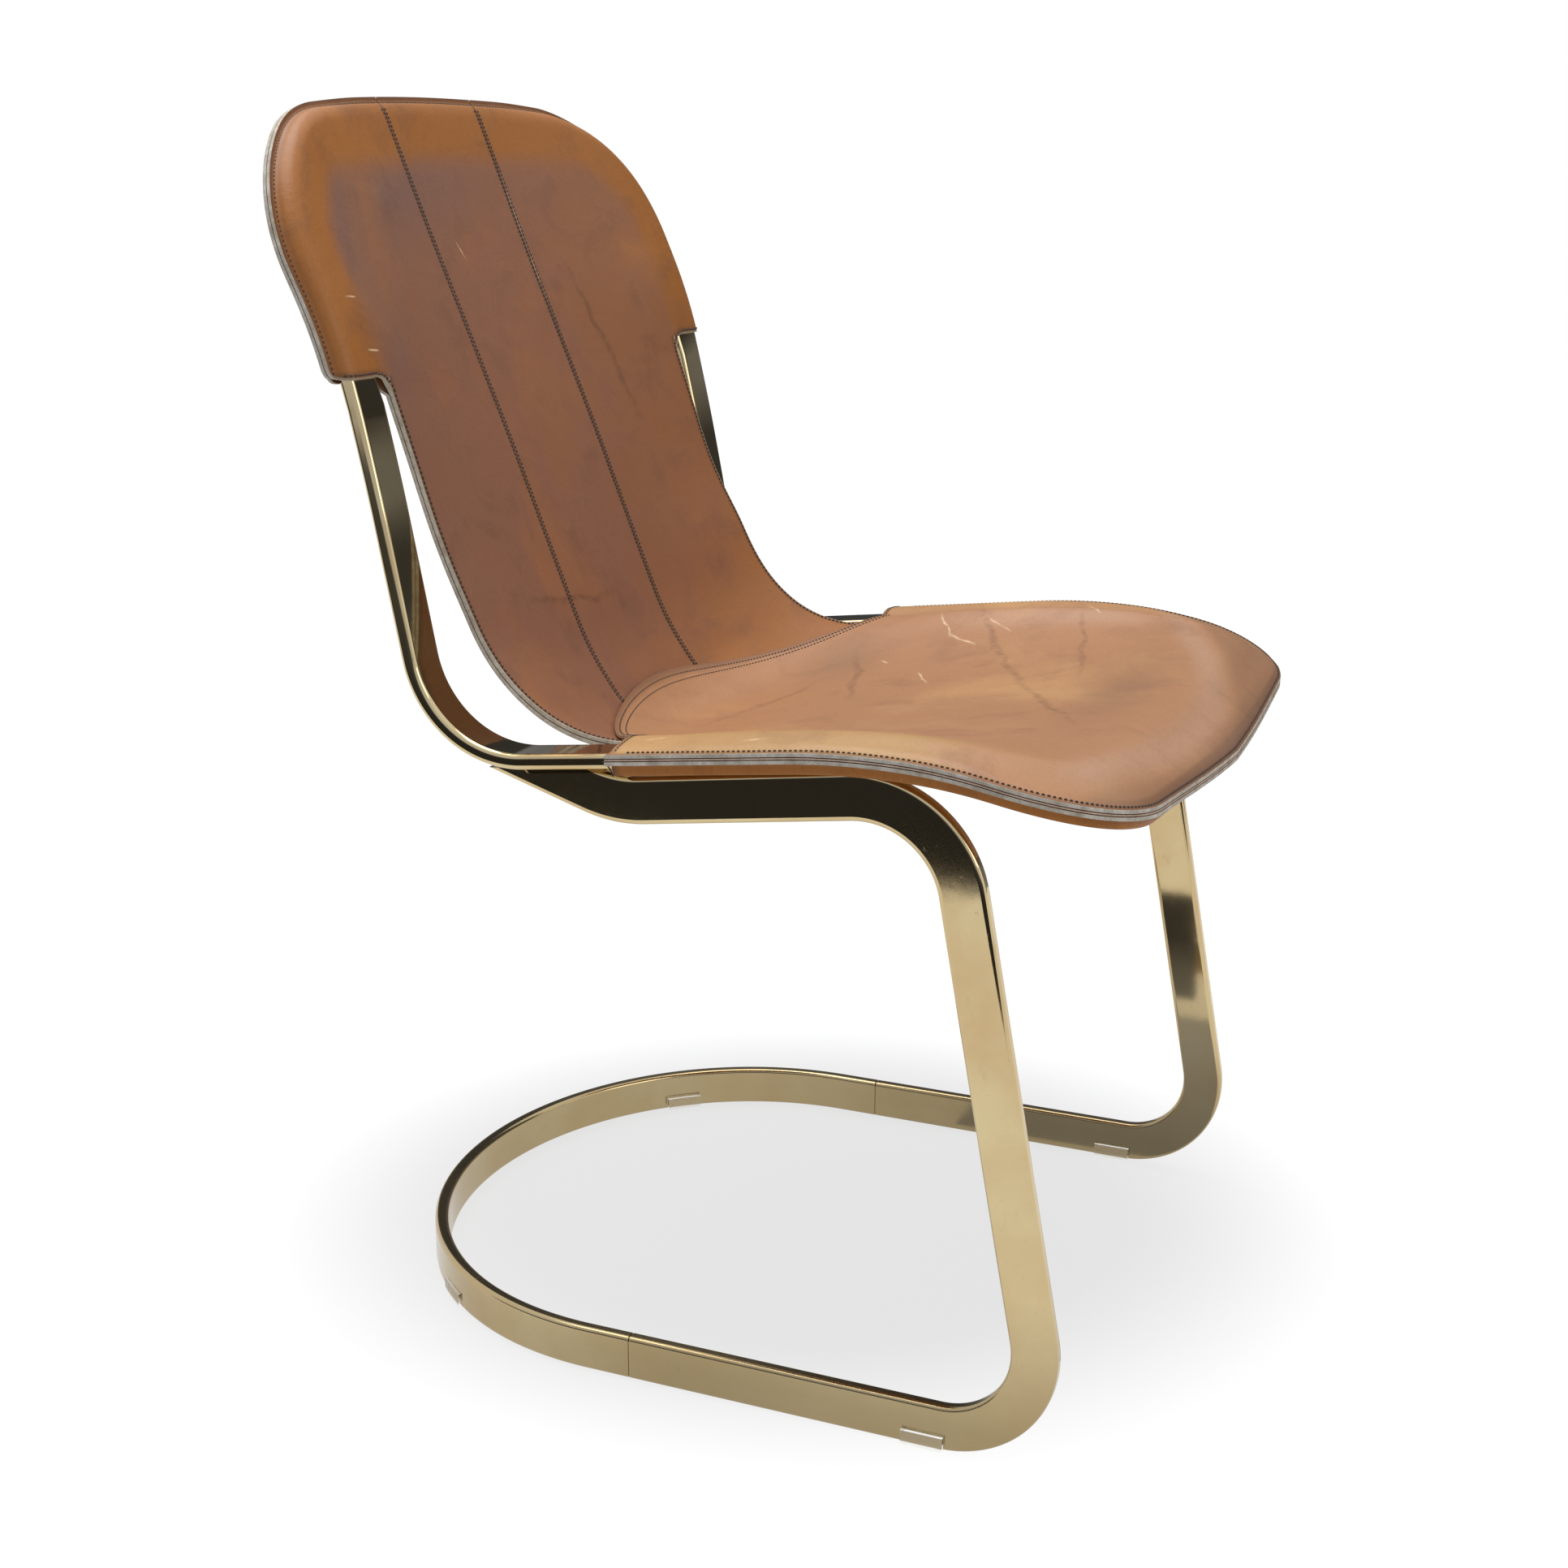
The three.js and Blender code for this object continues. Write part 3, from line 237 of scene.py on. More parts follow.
def length_at_height(line, s, z):
    """Length down a line at which it first comes to a height."""
    return np.interp(-z, -line[: len(s) // 2, 1], s[: len(s) // 2])


mouth_s = length_at_height(middle_line, middle_s, mouth_height)
edge_mouth_s = length_at_height(edge_line, edge_s, mouth_height)
END_S = middle_s[-1]


def hollow_share(x):
    """Share of the hollow's depth: 1 - u2 up to FLAT_SHARE of the half width, then a
    parabola that runs out to nothing over the tube."""
    u = np.abs(x) / INNER_X
    rest = np.maximum(0, 1 / FLAT_SHARE - u) ** 2 / (1 / FLAT_SHARE**2 - 1)
    return np.where(u < FLAT_SHARE, 1 - u * u, rest)


def face(x, s):
    """Point of the sitting face: the edge line mixed towards the middle line by the
    hollow's share at x. Both lines are read at the same share of their length."""
    x, s = np.broadcast_arrays(np.asarray(x, float), np.asarray(s, float))
    along = np.where(s <= mouth_s, s / mouth_s * edge_mouth_s,
                     mix(edge_mouth_s, edge_s[-1], (s - mouth_s) / (END_S - mouth_s)))
    place, height = (mix(np.interp(along, edge_s, edge_line[:, k]),
                         np.interp(s, middle_s, middle_line[:, k]), hollow_share(x))
                     for k in (0, 1))
    return np.stack([x, place, height], -1)


def behind(x, s, depth):
    """A point behind the sitting face, along its normal away from the sitter."""
    h = TUBE_T
    across = face(x + h, s) - face(x - h, s)
    down = face(x, np.minimum(s + h, END_S)) - face(x, np.maximum(s - h, 0))
    return face(x, s) + unit(np.cross(across, down)) * np.asarray(depth)[..., None]


def solve(x, target, low, high, value):
    """Bisection on whole arrays: the s at which value(s), falling, comes to the target."""
    x, target = np.broadcast_arrays(np.asarray(x, float), np.asarray(target, float))
    low, high = np.full(x.shape, low), np.full(x.shape, high)
    for _ in range(34):
        mid = (low + high) / 2
        more = value(x, mid) > target
        low, high = np.where(more, mid, low), np.where(more, high, mid)
    return high


def s_at_place(x, place):
    return solve(x, place, mouth_s, END_S, lambda x, s: face(x, s)[..., 1])


print("middle line", round(END_S, 1), "mm, mouth at", round(float(mouth_s), 1), "mm")

# %% [markdown]
# Meshes are put together from grids. A grid gives points and quads, and several grids that
# share an outline are welded by rounding their points. A sheet of leather gets a second
# face at its own depth and a rim between the two, which later wears the raw-edge finish.

# %% Mesh helpers
def grid_quads(rows, columns):
    """Quads of a grid whose points are stored row by row."""
    k = np.arange(rows * columns).reshape(rows, columns)
    return np.stack([k[:-1, :-1], k[:-1, 1:], k[1:, 1:], k[1:, :-1]], -1).reshape(-1, 4)


def ring_faces(rings, sides):
    """Quads round a stack of rings, and the caps at its two ends."""
    k = np.arange(rings * sides).reshape(rings, sides)
    n = np.roll(k, -1, axis=1)
    quads = np.stack([k[:-1], n[:-1], n[1:], k[1:]], -1).reshape(-1, 4)
    return [quads, np.stack([k[0][::-1], k[-1]])]


def weld(blocks):
    """Joins grids of parameter points (rows, columns, n) into one list, merging equal
    points, and returns the points and the quads."""
    flat, quads, start = [], [], 0
    for block in blocks:
        points = block.reshape(-1, block.shape[-1])
        own = grid_quads(*block.shape[:2])
        p = points[own][..., :2]
        turn = np.cross(p[:, 2] - p[:, 0], p[:, 3] - p[:, 1]).sum()
        flat.append(points)
        quads.append((own if turn > 0 else own[:, ::-1]) + start)
        start += len(points)
    flat = np.concatenate(flat)
    _, first, back = np.unique(np.round(flat[:, :2], 3), axis=0, return_index=True,
                               return_inverse=True)
    return flat[first], back.reshape(-1)[np.concatenate(quads)]


def patch(top, bottom, left, right):
    """Surface between four curves that share corners: the mix of top and bottom plus the
    mix of left and right minus the mix of the four corners."""
    u = np.linspace(0, 1, len(top))[None, :, None]
    v = np.linspace(0, 1, len(left))[:, None, None]
    ruled = mix(top[None], bottom[None], v) + mix(left[:, None], right[:, None], u)
    return ruled - mix(mix(top[0], top[-1], u), mix(bottom[0], bottom[-1], u), v)


def boundary(quads):
    """Directed edges that belong to one quad only."""
    e = np.concatenate([quads[:, [i, (i + 1) % 4]] for i in range(4)])
    _, back, count = np.unique(np.sort(e, 1), axis=0, return_inverse=True, return_counts=True)
    return e[count[back.reshape(-1)] == 1]


def settled(points):
    """The chair in the photograph has racked a little: behind the seat the ring stands 2 mm
    further back and its top 4.5 mm more, the top is turned, its far side higher, and the
    sling's far edge is tauter low down, 4 mm forwards and up."""
    x, y, z = np.asarray(points, float).T
    back = 2.0 * smooth(y, 40, 170) + 4.5 * smooth(z, 560, 740)
    rise = 2.6 * x / 170 * smooth(z, 640, 780)
    taut = 4 * smooth(x, 60, 190) * (1 - smooth(x, 206, 215)) * bell(z, 492, 46)
    return np.column_stack([x, y + back - taut, z + rise + taut])


def outward(points, blocks):
    """One list of faces from arrays of them, all turned round if they enclose a negative
    volume, which is summed as p0 . (p1 x p2) over the fan of each face."""
    volume = sum((points[b[:, 0]] * np.cross(points[b[:, k]], points[b[:, k + 1]])).sum()
                 for b in blocks for k in range(1, b.shape[1] - 1))
    return [f[:: 1 if volume > 0 else -1] for b in blocks for f in b.tolist()]


def linked(name, data):
    """A new object in the scene."""
    obj = bpy.data.objects.new(name, data)
    bpy.context.scene.collection.objects.link(obj)
    return obj


def make_mesh(name, points, blocks, materials, index=None, attributes=None, hard=None):
    """A closed piece on the chair's body, from points in the maker's millimetres and arrays
    of faces. Attributes belong to its points, and hard lists the edges that stay sharp."""
    mesh = bpy.data.meshes.new(name)
    mesh.from_pydata(metres(settled(points)).tolist(), [], outward(points, blocks))
    for key, value in (attributes or {}).items():
        kind, field = (("FLOAT", "value"), ("FLOAT_VECTOR", "vector"))[value.ndim - 1]
        data = mesh.attributes.new(key, kind, "POINT").data
        data.foreach_set(field, value.astype(np.float32).ravel())
    for material in materials:
        mesh.materials.append(material)
    if index is not None:
        mesh.polygons.foreach_set("material_index", index.astype(np.int32))
    mesh.polygons.foreach_set("use_smooth", np.ones(len(mesh.polygons), bool))
    if hard is not None:
        ends = np.zeros(len(mesh.edges) * 2, np.int32)
        mesh.edges.foreach_get("vertices", ends)
        keys = [np.sort(e.reshape(-1, 2), 1) @ [len(points), 1] for e in (ends, hard)]
        sharp = np.isin(*keys)
        mesh.attributes.new("sharp_edge", "BOOLEAN", "EDGE").data.foreach_set("value", sharp)
        weight = mesh.attributes.new("bevel_weight_edge", "FLOAT", "EDGE").data
        weight.foreach_set("value", sharp.astype(np.float32))
    mesh.validate()
    mesh.update()
    obj = linked(name, mesh)
    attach(obj, "root")
    return obj


print("mesh helpers ready")

# %% [markdown]
# Every finish is a small tree of nodes. The helpers add to the tree that was opened last,
# so a finish reads like a recipe.

# %% Node helpers
def open_tree(owner, output):
    """Empties the tree of a material or world, and returns its new output node."""
    global tree
    owner.use_nodes = True
    tree = owner.node_tree
    tree.nodes.clear()
    return tree.nodes.new("ShaderNode" + output)


def feed(n, inputs):
    """Links a node's inputs to sockets, or sets them to values."""
    for key, value in inputs.items():
        socket = n.inputs[key]
        if isinstance(value, bpy.types.NodeSocket):
            tree.links.new(value, socket)
        else:
            socket.default_value = (*value, 1.0) if socket.type == "RGBA" else value


def node(kind, inputs=None, output=0, **settings):
    """Adds a node, sets its options, feeds its inputs and returns one of its outputs."""
    n = tree.nodes.new("ShaderNode" + kind)
    for key, value in settings.items():
        setattr(n, key, value)
    feed(n, inputs or {})
    return n.outputs[output]


def new_material(name):
    mat = bpy.data.materials.new(name)
    output = open_tree(mat, "OutputMaterial")
    shader = tree.nodes.new("ShaderNodeBsdfPrincipled")
    feed(output, {0: shader.outputs[0]})
    return mat, shader


def attribute(name, output="Fac"):
    return node("Attribute", output=output, attribute_name=name)


def object_place():
    return node("TexCoord", output="Object")


def axis_of(vector, axis):
    return node("SeparateXYZ", {0: vector}, axis)


def scaled(vector, scale):
    return node("Mapping", {"Vector": vector, "Scale": scale})


def noise(vector, scale, detail=3, rough=0.5, distortion=0, seed=None):
    inputs = {"Vector": vector, "Scale": scale, "Detail": detail, "Roughness": rough,
              "Distortion": distortion}
    if seed is None:
        return node("TexNoise", inputs)
    return node("TexNoise", {**inputs, "W": seed}, noise_dimensions="4D")


def ramp(value, low, high, to_low=0, to_high=1, kind="LINEAR"):
    """Maps a value from one range to another, clipped."""
    inputs = dict(enumerate((value, low, high, to_low, to_high)))
    return node("MapRange", inputs, interpolation_type=kind)


def math(operation, *values):
    return node("Math", dict(enumerate(values)), operation=operation)


def times(a, b):
    return math("MULTIPLY", a, b)


def plus(a, b):
    return math("ADD", a, b)


def vectors(operation, a, b):
    """Vector arithmetic: a vector, or the value of a dot product."""
    output = "Value" if operation == "DOT_PRODUCT" else "Vector"
    return node("VectorMath", {0: a, 1: tuple(b)}, output, operation=operation)


def blend(factor, a, b):
    """Mixes two colours, each a socket or a triple."""
    return node("Mix", {0: factor, 6: a, 7: b}, 2, data_type="RGBA")


def layered(colour, layers):
    """Lays colours over each other, each by its own factor."""
    for factor, over in layers:
        colour = blend(factor, colour, over)
    return colour


def bump(height, strength, distance, normal=None):
    inputs = {"Height": height, "Strength": strength, "Distance": distance}
    return node("Bump", inputs if normal is None else {**inputs, "Normal": normal})


def srgb(r, g, b):
    """A screen colour, 0 to 255, as the linear triple that a shader takes."""
    c = np.array([r, g, b]) / 255
    return tuple(np.where(c <= 0.04045, c / 12.92, ((c + 0.055) / 1.055) ** 2.4).tolist())


def scars(flat, rows, seed):
    """Masks of single lines: the painted shade of a crease, or a scratch. A row gives start,
    end, width and waver in millimetres. A mask is near the line from start to end in the
    sheet, wavers with noise, is broken up along its run and fades at both ends."""
    for number, row in enumerate(rows, seed):
        x0, y0, x1, y1, width, waver = np.array(row) * MM
        length = float(np.hypot(x1 - x0, y1 - y0))
        along, across = np.array([[x1 - x0, y1 - y0, 0], [y0 - y1, x1 - x0, 0]]) / length
        local = vectors("SUBTRACT", flat, (x0, y0, 0))
        run, off = (vectors("DOT_PRODUCT", local, axis) for axis in (along, across))
        off = plus(off, ramp(noise(flat, 24, seed=number), 0.2, 0.8, -waver, waver))
        near = ramp(math("ABSOLUTE", off), width * 0.3, width, 1, 0)
        ends = times(ramp(run, 0, length * 0.3), ramp(run, length * 0.7, length, 1, 0))
        broken = ramp(noise(flat, 150, 2, seed=number + 5), 0.38, 0.55, 0.25)
        yield times(times(near, ends), broken)


print("node helpers ready")

# %% [markdown]
# Brass plate over bent steel tube: in the real chair a pale gold with a warm, slightly
# cloudy reflection, hairline scratches along the tube and dull spots where the lacquer has
# gone. A metallic surface with noise in its roughness and a faint bump gives that. The
# pattern follows the tube: each tube carries its own length and girth as an attribute.

# %% Metal finishes
def brass_finish(name, tint, warm, marks=()):
    """Lacquered brass: clear reflections, clouded patches, hairlines along the tube, dark
    specks, a darker and rougher tone close to the floor whose darkness is painted shade, for
    the shaded floor that the brass mirrors there, and single marks on the near side, each a
    line in the (y, z) plane."""
    mat, shader = new_material(name)
    run, where = attribute("run", "Vector"), object_place()
    x, y, z = (axis_of(where, axis) for axis in "XYZ")
    cloud = noise(where, 11, 4, 0.6)
    blotch = noise(scaled(run, (18, 55, 55)), 1.6, 5, 0.65)
    spots = ramp(noise(where, 190, 5, 0.62), 0.66, 0.74)
    hair = noise(scaled(run, (3, 260, 260)), 9, 3, 0.7)
    scratch = ramp(noise(scaled(run, (26, 420, 420)), 5, 2, 0.5), 0.72, 0.77)
    worn = math("MAXIMUM", times(spots, 0.5), scratch)
    # painted shade: darker near the floor and towards the front, for the shaded floor mirrored
    # there
    low = times(ramp(z, 0.02, 0.12, 0.72, 0), ramp(y, 0, 0.14, 1, 0.5))
    near = ramp(x, -0.24, -0.236, 0.75, 0)
    upright = node("CombineXYZ", {0: y, 1: z})
    colour = layered(blend(ramp(cloud, 0.3, 0.75), srgb(*tint), srgb(*warm)), [
        (times(worn, 0.55), srgb(120, 106, 80)),
        (low, srgb(142, 126, 94)),
        (ramp(blotch, 0.62, 0.8, 0, 0.3), srgb(150, 112, 66)),
        *((times(mask, near), srgb(92, 78, 50)) for mask in scars(upright, marks, 40)),
    ])
    rough = plus(ramp(cloud, 0.25, 0.8, 0.035, 0.1), times(worn, 0.2))
    feed(shader, {"Base Color": colour, "Roughness": plus(rough, times(low, 0.25)),
                  "Metallic": 1.0,
                  "Normal": bump(cloud, 0.02, 0.004, bump(hair, 0.012, 0.0003))})
    return mat


brass = brass_finish("brass_plate", (204, 187, 146), (190, 164, 120), [
    (-213, 206.8, -231, 212.6, 0.9, 0.6), (-221.5, 223.5, -223.7, 223.1, 1.8, 0.6),
    (-253.6, 106, -254.2, 99, 1, 1), (-252.4, 98, -255.6, 83, 0.9, 2.2),
    (-255.6, 93, -254.5, 81, 0.7, 1), (-247.8, 108.5, -250.2, 106.2, 0.8, 0.4),
    (-250.8, 121.5, -251.2, 117.5, 0.8, 0.4), (-219.4, 33.3, -221.2, 32.8, 1.6, 0.3),
    (-238.2, 43.5, -242.5, 43.2, 1.1, 0.8), (-200, 320.8, -206, 319.7, 1.1, 1),
    (7.1, 30.9, -6, 26.2, 0.9, 2), (-10, 28.5, -19, 24, 0.8, 1),
])
weld_brass = brass_finish("brass_weld", (170, 140, 92), (110, 88, 58))
steel, shader = new_material("tube_steel")
feed(shader, {"Roughness": ramp(noise(object_place(), 300, 4), 0.2, 0.8, 0.35, 0.6),
              "Base Color": srgb(140, 142, 144), "Metallic": 1.0})
print("metal finishes", brass.name, weld_brass.name, steel.name)

# %% [markdown]
# A tube is its rounded section carried along a path. Each station has a point, the
# direction of the wide side and the direction of the thin side. The section's arcs get
# close points where they meet the flats, so smooth shading keeps the flats flat.

# %% Tube sweep
def rounded_section(steps=5, guard=0.35):
    """The tube's section, anticlockwise, with guard points beside each arc."""
    out = []
    for k, (sx, sy) in enumerate([(1, 1), (-1, 1), (-1, -1), (1, -1)]):
        centre = np.array([sx * (TUBE_W / 2 - TUBE_R), sy * (HALF_T - TUBE_R)])
        angle = np.pi / 2 * (k + np.linspace(0, 1, steps + 1))
        spoke = np.column_stack([np.cos(angle), np.sin(angle)])
        ahead = np.column_stack([-np.sin(angle), np.cos(angle)]) * guard
        arc = centre + TUBE_R * spoke
        out += [arc[:1] - ahead[:1], arc, arc[-1:] + ahead[-1:]]
    return np.concatenate(out)


SECTION = rounded_section()
CHAMFER = 0.5


def sweep(at, wide, thin, outline):
    """Points of a section carried along stations: at + wide * px + thin * py."""
    px, py = outline[None, :, :1], outline[None, :, 1:]
    return at[:, None] + wide[:, None] * px + thin[:, None] * py


def tube_mesh(name, rings, at, replaces):
    """A brass tube from its rings of points. "run" is its length and girth for the finish,
    and the rings at both ends stay sharp."""
    count, sides = rings.shape[:2]
    run = np.zeros(rings.shape)
    run[..., 0], run[..., 1] = lengths(at)[:, None] * MM, lengths(SECTION) * MM
    k = np.arange(count * sides).reshape(count, sides)[[0, 1, -2, -1]]
    obj = make_mesh(name, rings.reshape(-1, 3), ring_faces(count, sides), [brass],
                    attributes={"run": run.reshape(-1, 3)},
                    hard=np.stack([k, np.roll(k, -1, 1)], -1))
    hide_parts(replaces)
    print(name, rings.size // 3, "points, length", round(float(lengths(at)[-1])), "mm")


def tube(name, at, wide, thin, replaces):
    """A closed tube. Each end gets a small chamfer, which shows as the line of a joint."""
    ends, every = [0, -1], np.r_[0, 0 : len(at), len(at) - 1]
    stations = at[every]
    stations[[1, -2]] += tangents(at)[ends] * CHAMFER * [[1], [-1]]
    rings = sweep(stations, wide[every], thin[every], SECTION)
    small = SECTION * (1 - 2 * CHAMFER / np.array([TUBE_W, TUBE_T]))
    rings[ends] = sweep(at[ends], wide[ends], thin[ends], small)
    tube_mesh(name, rings, stations, replaces)


def square_to(directions, up):
    """The up vectors made square to the directions, and unit long."""
    return unit(up - directions * (up * directions).sum(1, keepdims=True))


print("tube section", len(SECTION), "points, girth", round(lengths(SECTION)[-1], 1), "mm")

# %% [markdown]
# The base first: two sides stand on edge, so the wide side of the section lies in the
# chair's side plane, and the tail that carries the ring is cut along the rail's underside.

# %% Base sides and rear arc
def plane_stations(line, x):
    """A (place, height) line at a fixed x, and the direction across it in its plane."""
    d = tangents(line)
    flat = np.zeros(len(line))
    return np.column_stack([flat + x, line]), np.column_stack([flat, -d[:, 1], d[:, 0]])


def under_rail(points, direction):
    """Slides points along a direction onto the plane of the rails' underside."""
    normal = np.array([0, np.sin(RAIL_FALL), np.cos(RAIL_FALL)])
    on = np.array([0, *HEEL]) - normal * (HALF_T + GAP)
    return points + direction * ((on - points) @ normal / (direction @ normal))[:, None]


for side, sign in (("right", -1), ("left", 1)):
    at, wide = plane_stations(side_line, sign * RAIL_X)
    rings = sweep(at, wide, np.tile(X_AXIS, (len(at), 1)), SECTION)
    below = (rings[..., 2] < rail_height(rings[..., 1]) - HALF_T - GAP - 0.5).all(1)
    last = np.flatnonzero(below)[-1]
    cut = under_rail(rings[last], tangents(at)[last])
    first = rings[0] - [0, CHAMFER, 0]
    small = at[0] + (rings[0] - at[0]) * 0.94
    tube_mesh("base_side_tube_" + side, np.stack([small, first, *rings[1 : last + 1], cut]),
              np.stack([at[0], first.mean(0), *at[1 : last + 1], cut.mean(0)]),
              "base_side_" + side)

angle = np.linspace(0, np.pi, 181)
depth = ARC_PLACE + (ARC_DEPTH - HALF_T) * np.sin(angle)
arc = np.column_stack([RAIL_X * np.cos(angle), depth, 0 * angle + RUNNER_Z])
start = straight(np.array([RAIL_X, JOINT_PLACE + GAP, RUNNER_Z]), arc[0])[:-1]
arc = np.concatenate([start, arc, start[::-1] * [-1, 1, 1]])
d = tangents(arc)
tube("base_arc_tube", arc, np.tile(Z_AXIS, (len(arc), 1)),
     np.column_stack([-d[:, 1], d[:, 0], 0 * d[:, 0]]), "base_rear_arc")

# %% [markdown]
# The upper ring is two bent tubes that meet inside the seat's pocket. The front loop
# follows the waterfall. The arch runs behind the sitting face at a fixed distance.

# %% Front loop and back arch
RING_JOINT, LOOP_FRONT = 24.0, -235


def bow(x, half):
    """A flat-topped hump across the chair: (1 - (x/half)2)2."""
    return np.maximum(0, 1 - (x / half) ** 2) ** 2


def crown(x):
    """How much lower the arch lies than in its middle."""
    return 6 * (1 - bow(x, RAIL_X))


def hoop(from_place, to_place, radius):
    """A hoop over the chair's width: out from one side, across and back on the other."""
    return rounded([[RAIL_X, from_place], [RAIL_X, to_place], [-RAIL_X, to_place],
                    [-RAIL_X, from_place]], [radius, radius])


x, y = hoop(RING_JOINT, LOOP_FRONT, 68).T
y = y - np.where(y < FALL_PLACE, 6 * bow(x, RAIL_X), 0)
loop = np.column_stack([x, y, rail_height(y)])
d = tangents(loop)
up = square_to(d, unit(np.column_stack([0 * y, -rail_rise(y), 0 * y + 1])))
tube("seat_loop_tube", loop, np.cross(d, up), up, "seat_loop")

rail_end = RING_JOINT + GAP
heel_line = rounded([[rail_end, rail_height(rail_end)], HEEL, back_bend,
                     back_bend + heading(TOP_SLOPE) * (arch_height - HEEL[1])],
                    [71, BEND_RADIUS])
lower = heel_line[heel_line[:, 1] <= back_bend[1] - tangent(BEND_RADIUS, BEND_TURN)]
x, s = hoop(mouth_s, length_at_height(middle_line, middle_s, arch_height), 86).T
s = s + crown(x) * (s < mouth_s)
arch = behind(x, s, np.full(len(s), OVER_TUBE))
arch_up = unit(arch - face(x, s))
low_at, low_up = plane_stations(lower, RAIL_X)
ring = np.concatenate([low_at, arch, low_at[::-1] * [-1, 1, 1]])
d = tangents(ring)
up = square_to(d, np.concatenate([-low_up, arch_up, -low_up[::-1]]))
tube("back_arch_tube", ring, np.cross(d, up), up, "back_arch")

# %% [markdown]
# Leather. Saddle leather is dyed through, oiled and waxed. Where it is pressed over the
# tube it stays orange, in the middle it has gone a dull mauve brown, and raw edges are
# grey. Each sheet carries attributes for its finish: "flat" is its place in the cut
# leather, "tone" the share of the middle's colour, "edge" the distance from its cut edge in
# millimetres, "seam" the dark strip along a seam and, on the seat, painted
# shade, and "bloom" a greyish band on the back and a painted highlight on the seat.

# %% Leather finishes
def leather_finish(name, border, middle, rough=(0.34, 0.5), rim=(84, 58, 42), mottle=0.5,
                   grey=(120, 90, 78), crease_shade=(), scratches=(), pale=False, gloss=0.5):
    """Oiled leather: border colour to middle colour by tone, and on to grey by bloom,
    which on the seat is a painted highlight; broad and fine mottling, dark streaks, pale
    scuffs, painted shade along single creases, single pale scratches, a dark strip along
    seams that on the seat is painted shade, a darker rim along the cut edge that is painted
    shade where the edge rolls away, and a fine grain."""
    mat, shader = new_material(name)
    flat = attribute("flat", "Vector")
    tone, edge, seam, bloom = map(attribute, ("tone", "edge", "seam", "bloom"))
    broad = noise(flat, 6, 4, 0.55, 0.6)
    blot = noise(flat, 21, 5, 0.62, 0.4)
    speck = noise(flat, 520, 3, 0.6)
    cell = node("TexVoronoi", {"Vector": flat, "Scale": 900}, "Distance")
    streak = noise(scaled(flat, (120, 14, 1)), 1.6, 5, 0.65, 0.5)
    scuff = noise(scaled(flat, (30, 210, 1)), 3.2, 3, 0.55, 1.6)
    light = [min(1, c * 1.35) for c in srgb(*border)]
    dark = [c / 2 for c in srgb(*middle)]
    share = ramp(plus(tone, ramp(blot, 0.25, 0.75, -0.16, 0.16)), 0, 1)
    layers = [
        # greyish band on the back; on the seat this layer is a painted highlight
        (bloom, srgb(*grey)),
        (ramp(broad, 0.5, 0.78, 0, mottle), light),
        (ramp(blot, 0.52, 0.8, 0, mottle * 0.8), dark),
        (ramp(speck, 0.55, 0.72, 0, 0.3), dark),
        (ramp(streak, 0.62, 0.8, 0, 0.3), dark),
        (ramp(scuff, 0.76, 0.8, 0, 0.55), srgb(206, 172, 132)),
        # painted shade: each crease is a darker line in the colour, with no fold in the surface
        *((times(mask, 0.5), dark) for mask in scars(flat, crease_shade, 0)),
        *((times(mask, 0.85), srgb(222, 192, 152)) for mask in scars(flat, scratches, 20)),
        # dark strip along seams; on the seat this layer is painted shade
        (seam, srgb(104, 80, 62)),
        # painted shade: darker within 6 mm of the cut edge, where the edge rolls away
        (ramp(edge, 1, 6, 0.75, 0), srgb(*rim)),
    ]
    if pale:  # a pale line along the cut edge low on the sling, a painted highlight where the rounded edge catches light
        cut = times(ramp(edge, 0.7, 1.7, 0.85, 0), ramp(axis_of(flat, "Y"), 0.10, 0.16))
        layers.append((cut, srgb(158, 140, 114)))
    pores = bump(speck, 0.2, 0.0004, bump(cell, 0.2, 0.00025))
    feed(shader, {"Base Color": layered(blend(share, srgb(*border), srgb(*middle)), layers),
                  "Roughness": ramp(blot, 0.25, 0.8, *rough), "IOR": 1.46,
                  "Specular IOR Level": gloss, "Normal": bump(blot, 0.25, 0.004, pores)})
    return mat


def edge_finish(name, light, dark):
    """Raw cut leather: fibres in fine layers along the edge, pale with darker grime."""
    mat, shader = new_material(name)
    fibre, grime = noise(object_place(), 900, 4, 0.7), noise(object_place(), 90, 5, 0.7)
    colour = blend(ramp(grime, 0.36, 0.66), srgb(*light), srgb(*dark))
    colour = blend(ramp(fibre, 0.5, 0.75, 0, 0.5), colour, srgb(86, 70, 56))
    feed(shader, {"Base Color": colour, "Roughness": 0.85, "Normal": bump(fibre, 0.8, 0.0007)})
    return mat


# The creases listed on the back and on the seat are painted shade.
back_leather = leather_finish(
    "leather_back", (150, 94, 42), (136, 92, 68), mottle=0.65, pale=True, gloss=0.28,
    crease_shade=[(-130, 360, 20, 370, 4, 6), (100, 120, 130, 260, 5, 10)],
    scratches=[(-226, 135, -212, 136, 0.9, 1), (-222, 170, -206, 172, 0.9, 1),
               (-30, 105, -24, 120, 0.9, 1), (62, 50, 61.5, 170, 1.1, 0.6)])
rear_leather = leather_finish("leather_rear", (150, 98, 52), (134, 90, 62), (0.45, 0.62))
